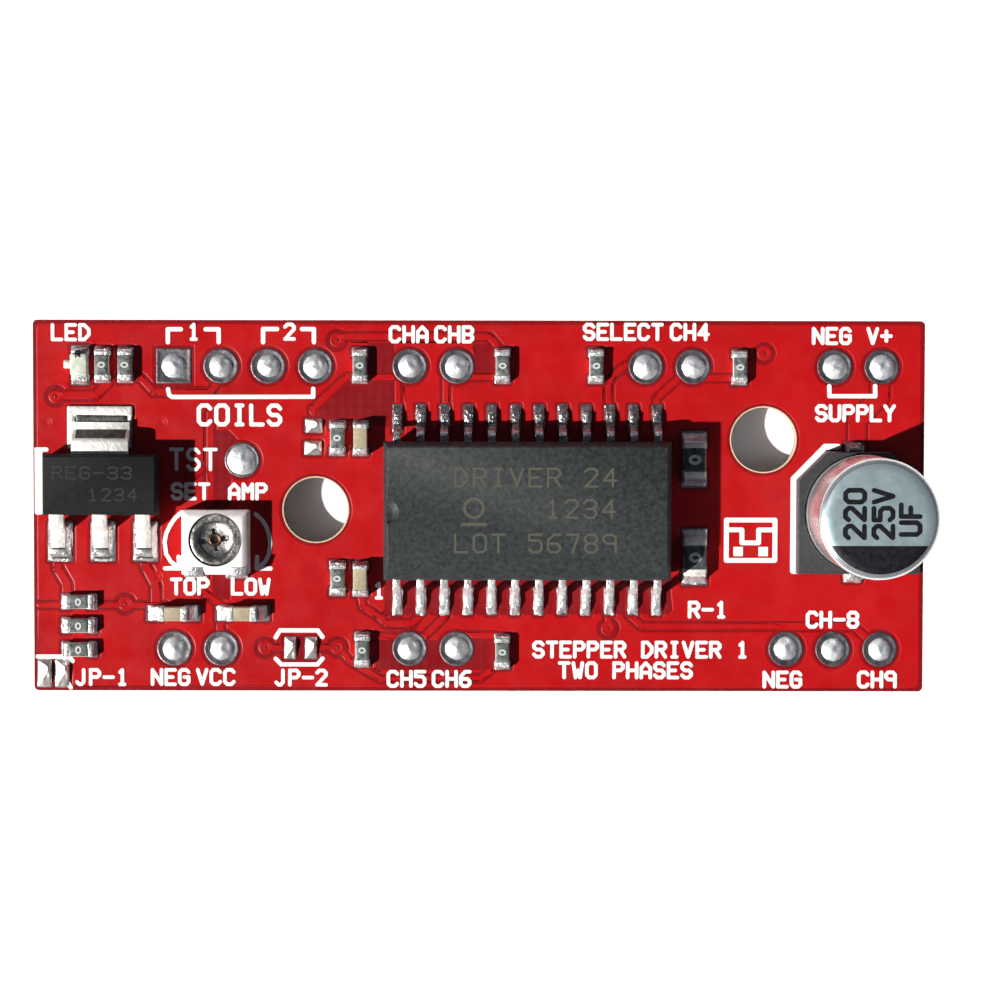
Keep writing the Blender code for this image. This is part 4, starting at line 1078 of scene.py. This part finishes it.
def lamp():
    """The power lamp: a white plate with tinned ends, a clouded lens and solder at its side."""
    chip = Chip("power_led")
    long, wide, low, high = chip.long, chip.wide, chip.low, chip.high
    plate = chip.put(soft_block(long, wide + 0.05, low, low + 0.24, 0.03, 0.02))
    piece("power_led_plate", plate, "alumina", replaces=["power_led"])
    lens = roughen(soft_block(0.60, wide + 0.06, low + 0.22, high, 0.12, 0.09), 0.035, 0.35, 5)
    piece("power_led_lens", chip.put(lens, -0.02, 0.02), "lens", smooth=60)
    caps = roughen(end_caps(long, wide, low, low + 0.30, 0.26, 0.04), 0.03, 0.2, 4)
    piece("power_led_ends", chip.put(caps), "tin", smooth=60)
    joints = end_fillets(chip, 0.76, (0.30, 0.48), 0.74, (0.12, 0.38), 0.30, 9)
    solder("power_led_solder", *joints)
    x, y = chip.middle.x, chip.middle.y
    lump = roughen(moved(pillow(0.26, 0.22, low, low + 0.30, 0.10), x - 0.62, y + 0.04), 0.06, 0.2, 8)
    solder("power_led_side_solder", lump, look="tab")
    dot = roughen(moved(pillow(0.15, 0.10, high - 0.20, high - 0.02, 0.02), x - 0.06, y + 0.62), 0.01, 0.2, 2)
    piece("power_led_polarity_mark", dot, "black_ink", smooth=60)


# Packages and leads


def package(half_x, half_y, top, middle, draft, front_bevel, soft):
    """A moulded package that stands at zero, widest at its parting line, with softened edges."""
    # Each rim is its level, its inset all round and the front edge's own inset
    rims = [(0.0, draft + soft, 0.0), (soft, draft, 0.0)]
    rims += [(middle - 0.06, 0.02, 0.0), (middle - 0.02, 0.0, 0.0)]
    rims += [(middle + 0.02, 0.0, 0.0), (middle + 0.06, 0.02, 0.0)]
    rims += [(top - max(front_bevel, 0.2 * (top - middle)), 0.72 * draft, 0.0)]
    rims += [(top - soft, draft - 0.01, 0.88 * front_bevel)]
    rims += [(top - 0.3 * soft, draft + 0.4 * soft, front_bevel)]
    rims += [(top, draft + soft, front_bevel + 0.3 * soft)]
    layers = []
    for level, inset, front in rims:
        outline = rounded_rectangle(half_x - inset, half_y - inset, soft)
        front_y = inset - half_y + front
        layers.append(([(x, max(y, front_y) if y < 0 else y) for x, y in outline], level))
    return stack(layers)


def bent_path(corners, radius, steps=5):
    """A path with its inner corners rounded."""
    corners = [Vector(corner) for corner in corners]
    points = [corners[0]]
    for before, corner, after in zip(corners, corners[1:], corners[2:]):
        start = corner + (before - corner).normalized() * radius
        end = corner + (after - corner).normalized() * radius
        for t in (step / steps for step in range(steps + 1)):
            points.append(start * (1 - t) ** 2 + corner * 2 * t * (1 - t) + end * t**2)
    return [*points, corners[-1]]


def ribbon(path, width, thick, soft=0.03):
    """A formed strip of metal along a path of (reach, height), with softened edges. It runs along +Y."""
    sections = []
    for i, point in enumerate(path):
        along = (path[min(i + 1, len(path) - 1)] - path[max(i - 1, 0)]).normalized()
        up = Vector((-along.y, along.x))
        outline = rounded_rectangle(width / 2, thick / 2, soft, 2)
        sections.append([(x, point.x + up.x * z, point.y + up.y * z) for x, z in outline])
    return loft(sections)


def formed_lead(width, thick, start, shoulder, leave, foot_start, tip, foot, radius):
    """A gull-wing lead that leaves a body towards +Y at one level and ends at its foot's level."""
    corners = [(start, leave), (shoulder, leave), (foot_start, foot + 0.015), (tip, foot)]
    return ribbon(bent_path(corners, radius), width, thick)


def driver_chip():
    middle, half = centre_of("ic_body")
    low, high = middle.z - half.z, middle.z + half.z
    marks_y, chip_y = middle.y, middle.y + CHIP_SHIFT
    shape = moved(package(half.x, half.y - 0.03, high - low, 1.16, 0.24, 0.42, 0.05), middle.x, chip_y, low)
    body = piece("driver_chip_body", shape, "ic", replaces=["ic_body"], smooth=25)
    dish = [(0, high - 0.15), (0.34, high - 0.14), (0.52, high - 0.09), (0.68, high + 0.01)]
    cutter = turned([*dish, (0.70, high + 0.4), (0, high + 0.4)], 40)
    cut_from(body, moved(cutter, middle.x - half.x + 0.20, chip_y))

    lines = (("DRIVER 24", 0.42, 1.70), ("1234", 2.83, 0.04), ("LOT 56789", 0.42, -1.80))
    marks = []
    for text, x, y in lines:
        marks += text_shapes(text, middle.x + x, marks_y + y, 0.94, 0.985, 0.15)
    mark_x, mark_y = middle.x - 2.85, marks_y - 0.05
    marks += strokes(arc(mark_x, mark_y + 0.12, 0.5, 0, 360, 20), 0.2)
    marks += strokes([(mark_x - 0.62, mark_y - 0.74), (mark_x + 0.62, mark_y - 0.74)], 0.2)
    print_piece("driver_chip_marking", marks, high - 0.01, high + 0.004, "laser")

    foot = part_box("ic_lead_01")[0].z / MM + 0.125
    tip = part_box("ic_lead_24")[1].y / MM - marks_y
    ground_leads = {}
    # Front leads take the whiter, lit copy of the tin (painted light); back leads and back joints take the
    # darker copy (painted shade).
    rows = ((-1, "front", 1, "front_tin", "solder"), (1, "back", 13, "shaded_tin", "shaded_tin"))
    for row, name, first, lead_look, solder_look in rows:
        joints, leads = [], []
        for n, x in enumerate(x for x, side in lead_places() if side == row):
            lead = formed_lead(0.40, 0.25, half.y - 0.5, 4.10, low + 1.16, 4.50, tip, foot, 0.15)
            lead = roughen(lead, 0.035, 0.22, n + 30 * row)
            leads.append(moved(lead, x, chip_y, 0.0, 0.0 if row > 0 else math.pi))
            outer = (0.28, 0.78, 0.10, x, chip_y + row * LEAD_REACH)
            inner = (0.17, 0.36, 0.05, x, chip_y + row * 4.90)
            joints.append(fillet(inner, outer, 1.86, 100 + n * row, 1.3, 6, 0.06))
        ground_leads[name] = leads[5:7]
        replaced = [f"ic_lead_{first + n:02d}" for n in range(12) if n not in (5, 6)]
        leads = merged(*leads[:5], *leads[7:])
        piece(f"driver_chip_leads_{name}", leads, lead_look, replaces=replaced, smooth=50)
        solder(f"driver_chip_solder_{name}", *joints, look=solder_look)
    plate = moved(soft_block(2.3, 2.9, low + 1.08, low + 1.28, 0.1, 0.02), middle.x, chip_y)
    ground = merged(plate, *ground_leads["front"])
    replaced = ["ic_ground_plate"]
    piece("driver_chip_ground_leads_front", ground, "front_tin", replaces=replaced, smooth=50)
    piece("driver_chip_ground_leads_back", merged(*ground_leads["back"]), "shaded_tin", smooth=50)


def regulator():
    middle, half = centre_of("regulator_body")
    x, y, low, high = middle.x, middle.y, middle.z - half.z, middle.z + half.z
    body = moved(package(3.12, 1.66, high - low, 0.84, 0.14, 0.05, 0.04), x + 0.03, y - 0.02, low)
    piece("regulator_moulding", body, "regulator", replaces=["regulator_body"], smooth=25)
    marks = text_shapes("REG-33", x - 0.35, y + 0.62, 0.62, 0.74, 0.11)
    marks += text_shapes("1234", x + 0.75, y - 0.55, 0.62, 0.70, 0.11)
    print_piece("regulator_marking", marks, high - 0.01, high + 0.004, "laser_faint")

    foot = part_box("regulator_lead_1")[0].z / MM + 0.14
    joints, leads, toes = [], [], []
    for n in (-1, 0, 1):
        lead_x = x + n * REGULATOR_PITCH - 0.04
        lead = formed_lead(0.80, 0.28, 1.35, 2.22, low + 0.86, 2.46, 3.46, foot, 0.2)
        leads.append(moved(roughen(lead, 0.035, 0.3, 40 + n), lead_x, y, 0.0, math.pi))
        outer = (0.66, 1.09, 0.18, lead_x + 0.06, y - 3.12)
        inner = (0.44, 0.70, 0.08, lead_x - 0.06, y - 3.06)
        joints.append(fillet(inner, outer, 1.90, 140 + n, 1.2, 7, 0.05))
        # Dark strips at each lead's toe and just beyond it: painted shade.
        toe = moved(soft_block(0.34, 0.05, foot, foot + 0.16, 0.03, 0.02), lead_x, y - 3.52)
        shade_line = moved(soft_block(0.42, 0.04, foot, foot + 0.02, 0.03, 0.02), lead_x + 0.04, y - 4.02)
        toes += [roughen(toe, 0.03, 0.3, n + 5), roughen(shade_line, 0.04, 0.3, n)]
    outers = ["regulator_lead_1", "regulator_lead_3"]
    piece("regulator_outer_leads", merged(leads[0], leads[2]), "tab", replaces=outers, smooth=50)
    step, landing, exit_level = 2.30, 2.82, low + 0.92
    tab = roughen(formed_lead(3.05, 0.28, 1.35, step, exit_level, landing, 3.30, foot, 0.12), 0.02, 0.35, 45)
    web = soft_block(1.5, 1.5, low + 0.74, low + 1.0, 0.1, 0.02)
    stamping = merged(moved(merged(tab, web), x, y), leads[1])
    replaced = ["regulator_tab_and_centre_lead"]
    piece("regulator_tab_stamping", stamping, "tab", replaces=replaced, smooth=50)

    # Dark strips on the tab's bend and in the solder at its toe: painted shade.
    rise, run = exit_level - foot, landing - step
    slope = [Vector((step + run * t, exit_level - rise * t)) for t in (0.06, 0.3, 0.5, 0.7, 0.96)]
    bend_shade = roughen(ribbon(slope, 2.72, 0.33, 0.05), 0.02, 0.3, 9)
    toe = roughen(moved(pillow(1.36, 0.19, PAD_LEVEL, foot - 0.03, 0.05), -0.02, 3.50), 0.04, 0.35, 12)
    dark = merged(moved(merged(bend_shade, toe), x, y), *toes)
    piece("regulator_shade_strips", dark, "shade_steel", smooth=50)
    slabs = [(1.74, 0.28, 0.06, 0.07, -0.10, 3.88), (0.20, 1.12, 0.06, 0.07, -1.66, 3.00)]
    slabs += [(0.16, 0.42, 0.10, 0.05, 1.44, 3.70), (1.5, 0.9, 0.16, 0.02, 0.0, 2.8)]
    pool = [
        moved(pillow(half_x, half_y, LAMINATE_LEVEL, foot - drop, crown), out_x, out_y)
        for half_x, half_y, drop, crown, out_x, out_y in slabs
    ]
    pool = moved(roughen(merged(*pool), 0.03, 0.3, 21), x, y)
    solder("regulator_tab_solder", pool, look="tab")
    solder("regulator_solder", *joints)


# Capacitor


def can_sag(radius):
    """How far the can's end has dropped at a radius, as it rolls over into the wall."""
    flat, outer, drop = 2.35, 3.15, 0.42
    t = min(1.0, max(0.0, (radius - flat) / (outer - flat)))
    return drop * (1.0 - math.sqrt(1.0 - t * t))


def capacitor_end(x, y, top):
    """The blue-grey film on the can's end and the print on it, both following the rolled edge."""
    rim, chord = 2.86, -1.36
    rings = [circle(x, y, rim - 0.12 * n, 96) for n in range(5)]
    edge = math.degrees(math.asin(chord / (rim - 0.02)))
    ink = [arc(x, y, rim - 0.02, -180 - edge, edge, 60)]
    ink += [[point for point in ring if point[1] < y + chord] for ring in rings[1:]]
    for word, column, shift in (("220", -1.31, 0.28), ("25V", 0.15, 0.28), ("UF", 1.55, 0.0)):
        ink += text_shapes(word, x + column, y + shift, 0.98, 0.92, 0.25, math.pi / 2)
    coords, kinds = arrange(("film", rings), ("ink", ink))
    film = flat_solid(coords, [*kinds["film"], *kinds["ink"]], top - 0.03, top + 0.004)
    ink = flat_solid(coords, kinds["ink"], top - 0.01, top + 0.010)
    for bm in (film, ink):
        for vert in bm.verts:
            vert.co.z -= can_sag(math.hypot(vert.co.x - x, vert.co.y - y))
    piece("capacitor_end_film", film, "can_top", smooth=40)
    piece("capacitor_end_print", ink, "black_ink", smooth=40)


def capacitor():
    middle, half = centre_of("capacitor_can")
    x, y, top, foot = middle.x + CAN_SHIFT, middle.y, middle.z + half.z - 0.01, middle.z - half.z
    outer, wall = half.x, 0.22
    inner, bead = outer - wall, foot + 1.35
    profile = [(outer - 0.4, foot), (outer - 0.1, foot + 0.05), (outer, foot + 0.22), (outer, bead - 0.30)]
    for step in range(1, 8):
        profile.append((outer - 0.26 * math.sin(math.pi * step / 8) ** 0.8, bead - 0.24 + 0.06 * step))
    profile += [(outer, bead + 0.30)]
    for step in range(14):
        radius = outer - 0.8 * (1.0 - math.cos(math.pi / 2 * step / 13))
        profile.append((radius, top - can_sag(radius)))
    profile += [(1.2, top), (0.0, top), (0.0, top - wall), (outer - 1.0, top - wall), (inner, top - 0.8)]
    profile += [(inner, bead + 0.5), (inner - 0.26, bead), (inner, bead - 0.5)]
    profile += [(inner, foot + wall), (outer - 0.4, foot + wall)]
    can = moved(turned(profile, 96), x, y)
    piece("capacitor_shell", can, "can", replaces=["capacitor_can"], smooth=35)
    capacitor_end(x, y, top)

    base_middle, base_half = centre_of("capacitor_base")
    x, y, side = base_middle.x, base_middle.y, base_half.x
    cut = side - 1.55
    outline = [(-side, -side), (side, -side), (side, cut), (cut, side), (-cut, side), (-side, cut)]
    base_low, base_high = base_middle.z - base_half.z + 0.01, base_middle.z + base_half.z
    levels = ((base_low, 1.0), (base_high, 0.985))
    shape = moved(stack(([(px * k, py * k) for px, py in outline], z) for z, k in levels), x, y)
    base = piece("capacitor_base_moulding", shape, "base", replaces=["capacitor_base"])
    cut_from(base, moved(turned([(0, 2.16), (3.17, 2.16), (3.22, 3.2), (0, 3.2)], 72), x + CAN_SHIFT, y))
    grooves = [moved(soft_block(0.42, 1.55, 1.5, 1.95, 0.02, 0.01), x, y + sign * 2.05) for sign in SIDES]
    cut_from(base, merged(*grooves))
    soften(base, 0.07, 2, 30)
    # The back joint lies in the can's shadow and takes the darker copy of the tin: painted shade.
    for sign, name, look in ((-1, "front", "solder"), (1, "back", "shaded_tin")):
        outer_ring = (0.49, 0.45, 0.15, x - 0.22, y + sign * 3.36)
        inner_ring = (0.22, 0.16, 0.08, x - 0.24, y + sign * 3.32)
        joint = fillet(inner_ring, outer_ring, 2.00, 160 + sign, 0.7, 7, 0.07)
        solder(f"capacitor_solder_{name}", joint, look=look)


# Trimmer


def trimmer():
    middle, half = centre_of("trimmer_housing")
    axis, rotor_half = centre_of("trimmer_rotor")
    low, high = middle.z - half.z, middle.z + half.z
    rims = [(low, 0.05), (low + 0.05, 0.0), (high - 0.26, 0.0)]
    rims += [(high - 0.22, 0.03), (high - 0.03, 0.30), (high, 0.38)]
    block = stack((rounded_rectangle(half.x - inset, half.y - inset, 0.10), level) for level, inset in rims)
    block = moved(block, middle.x, middle.y)
    name, replaced = "trimmer_ceramic_body", ["trimmer_housing"]
    housing = piece(name, block, "ceramic_white", replaces=replaced, smooth=30)
    well = [(0, low + 0.57), (1.42, low + 0.57), (1.42, high - 0.05), (1.46, high + 0.3), (0, high + 0.3)]
    cut_from(housing, moved(turned(well, 64), axis.x, axis.y))
    track = turned([(0.62, low + 0.56), (1.30, low + 0.56), (1.30, low + 0.60), (0.62, low + 0.60)], 64)
    piece("trimmer_track", moved(track, axis.x, axis.y), "gloss_glaze")

    tabs, joints = [], []
    corners = [(half.y - 0.42, high - 0.04), (half.y + 0.06, high - 0.17), (half.y + 0.07, low + 0.08)]
    for side in SIDES:
        tab = roughen(ribbon(bent_path(corners, 0.12), 1.02, 0.14, 0.04), 0.03, 0.25, 7 + side)
        tabs.append(moved(tab, side * 1.16, 0.0, 0.0, math.pi))
        outer = (0.62, 0.27, 0.12, middle.x + side * 1.08, middle.y - 1.74)
        inner = (0.52, 0.12, 0.05, middle.x + side * 1.12, middle.y - 1.72)
        joints.append(fillet(inner, outer, low + 0.62, 170 + side, 1.5))
    terminals = ("trimmer_terminal_1", "trimmer_terminal_3")
    tabs = moved(merged(*tabs), middle.x, middle.y)
    piece("trimmer_front_terminals", tabs, "tin", replaces=terminals, smooth=50)
    # The wiper terminal sits in the trimmer's shadow and takes the near-black steel: painted shade.
    tab = moved(soft_block(0.55, 0.10, low, low + 0.72, 0.05, 0.04), middle.x, middle.y + half.y - 0.06)
    piece("trimmer_wiper_terminal", tab, "shade_steel", smooth=50)
    lip = rotor_half.z + axis.z - 0.28
    # The rivet's near-black brass stands for the shade in the rotor's centre hole: painted shade.
    rivet = [(0.15, low + 0.1), (0.28, low + 0.1), (0.28, lip - 0.04), (0.36, lip - 0.02), (0.35, lip + 0.04)]
    rivet = turned([*rivet, (0.29, lip + 0.08), (0.20, lip + 0.07), (0.16, lip + 0.03)], 36)
    replaced = ["trimmer_rivet_terminal"]
    piece("trimmer_rivet", moved(rivet, axis.x, axis.y), "brass", replaces=replaced, smooth=40)
    solder("trimmer_solder", *joints)
    rotor(axis, rotor_half)


def rotor(axis, half):
    """A stamped rotor: rolled rim, sunk bowl, cross slot and a raised pointer across it."""
    low, high = axis.z - half.z, axis.z + half.z
    rim, floor = half.x - 0.07, high - 0.24
    profile = [(0.36, low), (rim - 0.06, low), (rim, low + 0.06), (rim, high - 0.10)]
    profile += [(rim - 0.04, high - 0.03), (rim - 0.12, high), (rim - 0.26, high), (rim - 0.34, high - 0.03)]
    profile += [(rim - 0.42, floor + 0.07), (rim - 0.52, floor), (0.36, floor)]
    shape = turned(profile, 72)
    pointer = math.radians(38)
    for vert in shape.verts:
        spread = math.cos(math.atan2(vert.co.y, vert.co.x) - pointer)
        if spread > 0.2 and floor - 0.05 < vert.co.z < high - 0.005:
            vert.co.z = min(high, vert.co.z + 0.10 * spread**2)
    shape = moved(roughen(shape, 0.012, 0.3, 3), axis.x, axis.y)
    name, replaced = "trimmer_slotted_rotor", ["trimmer_rotor"]
    obj = piece(name, shape, "steel", body=ROTOR, replaces=replaced, smooth=40)
    cutters = [turned([(0, high - 0.38), (0.36, high - 0.38), (0.40, high + 0.3), (0, high + 0.3)], 40)]
    for turn, reach, shift in ((8, 0.80, -0.12), (98, 0.62, 0.0)):
        bar = soft_block(reach, 0.14, high - 0.38, high + 0.3, 0.06, 0.01)
        cutters.append(moved(moved(bar, shift), turn=math.radians(turn)))
    for cutter in cutters:
        cut_from(obj, moved(cutter, axis.x, axis.y))
    shade(obj, 40)


def repaint_nodes():
    """Gives each CAD node that stays its own detailed material."""
    looks = {"ic_die": "silicon", "regulator_die": "silicon", "capacitor_bung": "rubber"}
    looks["capacitor_winding"] = "winding"
    for name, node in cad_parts.items():
        if node.hide_render:
            continue
        for slot in node.material_slots:
            slot.material = MATERIALS[looks.get(name, "tin")]


# Stage


def sheet(name, half_x, half_y, level, look):
    """A flat sheet of white paper, part of the stage."""
    bm = bmesh.new()
    corners = ((-half_x, -half_y), (half_x, -half_y), (half_x, half_y), (-half_x, half_y))
    bm.faces.new([bm.verts.new((x * MM, y * MM, 0.0)) for x, y in corners])
    obj = new_object(name, new_mesh(name, bm))
    obj.data.materials.append(MATERIALS[look])
    obj.location.z = level * MM
    return obj


def sun(name, energy, travel, angle):
    data = bpy.data.lights.new(name, "SUN")
    data.energy = energy
    data.angle = math.radians(angle)
    data.color = (1.0, 0.985, 0.95)
    obj = new_object(name, data)
    obj.rotation_euler = travel.to_track_quat("-Z", "Y").to_euler()
    return obj


def stage():
    """A white floor that the key light's shadows leave clean, except under the board, and a dim sky."""
    wide = sheet("floor", 900.0, 900.0, -0.04, "floor")
    sheet("floor_under_board", HALF_LENGTH - 0.5, HALF_WIDTH - 0.5, -0.02, "shaded_floor")
    heading, height = math.radians(23.5), math.radians(37)
    travel = Vector((math.cos(heading), math.sin(heading), -math.tan(height)))
    key = sun("key", 6.4, travel, 1.5)
    fill = sun("floor_light", 6.4, travel, 1.5)
    spared = bpy.data.collections.new("lit_without_shadows")
    spared.objects.link(wide)
    spared.collection_objects[0].light_linking.link_state = "EXCLUDE"
    key.light_linking.receiver_collection = spared
    plain = bpy.data.collections.new("floor_only")
    plain.objects.link(wide)
    fill.light_linking.receiver_collection = plain
    fill.light_linking.blocker_collection = plain

    world = bpy.data.worlds.new("studio")
    bpy.context.scene.world = world
    world.use_nodes = True
    tree = world.node_tree
    background = tree.nodes["Background"]
    coords, split, ramp = (tree.nodes.new(f"ShaderNode{k}") for k in ("TexCoord", "SeparateXYZ", "ValToRGB"))
    low_sky = [(0.0, (0.60, 0.64, 0.72)), (0.14, (0.46, 0.50, 0.58))]
    set_ramp(ramp, [*low_sky, (0.4, (0.20, 0.23, 0.30)), (0.7, (0.11, 0.13, 0.18))])
    tree.links.new(coords.outputs["Generated"], split.inputs["Vector"])
    tree.links.new(split.outputs["Z"], ramp.inputs["Fac"])
    tree.links.new(ramp.outputs["Color"], background.inputs["Color"])
    background.inputs["Strength"].default_value = 0.34


def camera():
    """Almost straight down, leaning a little towards the back edge."""
    data = bpy.data.cameras.new("camera")
    data.sensor_width = 36.0
    data.lens = 106.71
    data.clip_start = 0.005
    data.clip_end = 10.0
    obj = new_object("camera", data)
    obj.location = (0.622 * MM, 7.395 * MM, 161.231 * MM)
    lean = Vector((-0.0442, -0.0032, 0.0017))
    obj.rotation_euler = Quaternion(lean.normalized(), lean.length).to_euler()
    bpy.context.scene.camera = obj


bpy.context.scene.view_settings.view_transform = "Standard"
camera()
stage()
board_layers()
terminal_joints()
board_print()
chip_parts()
lamp()
bare_pad_solder()
driver_chip()
regulator()
capacitor()
trimmer()
repaint_nodes()
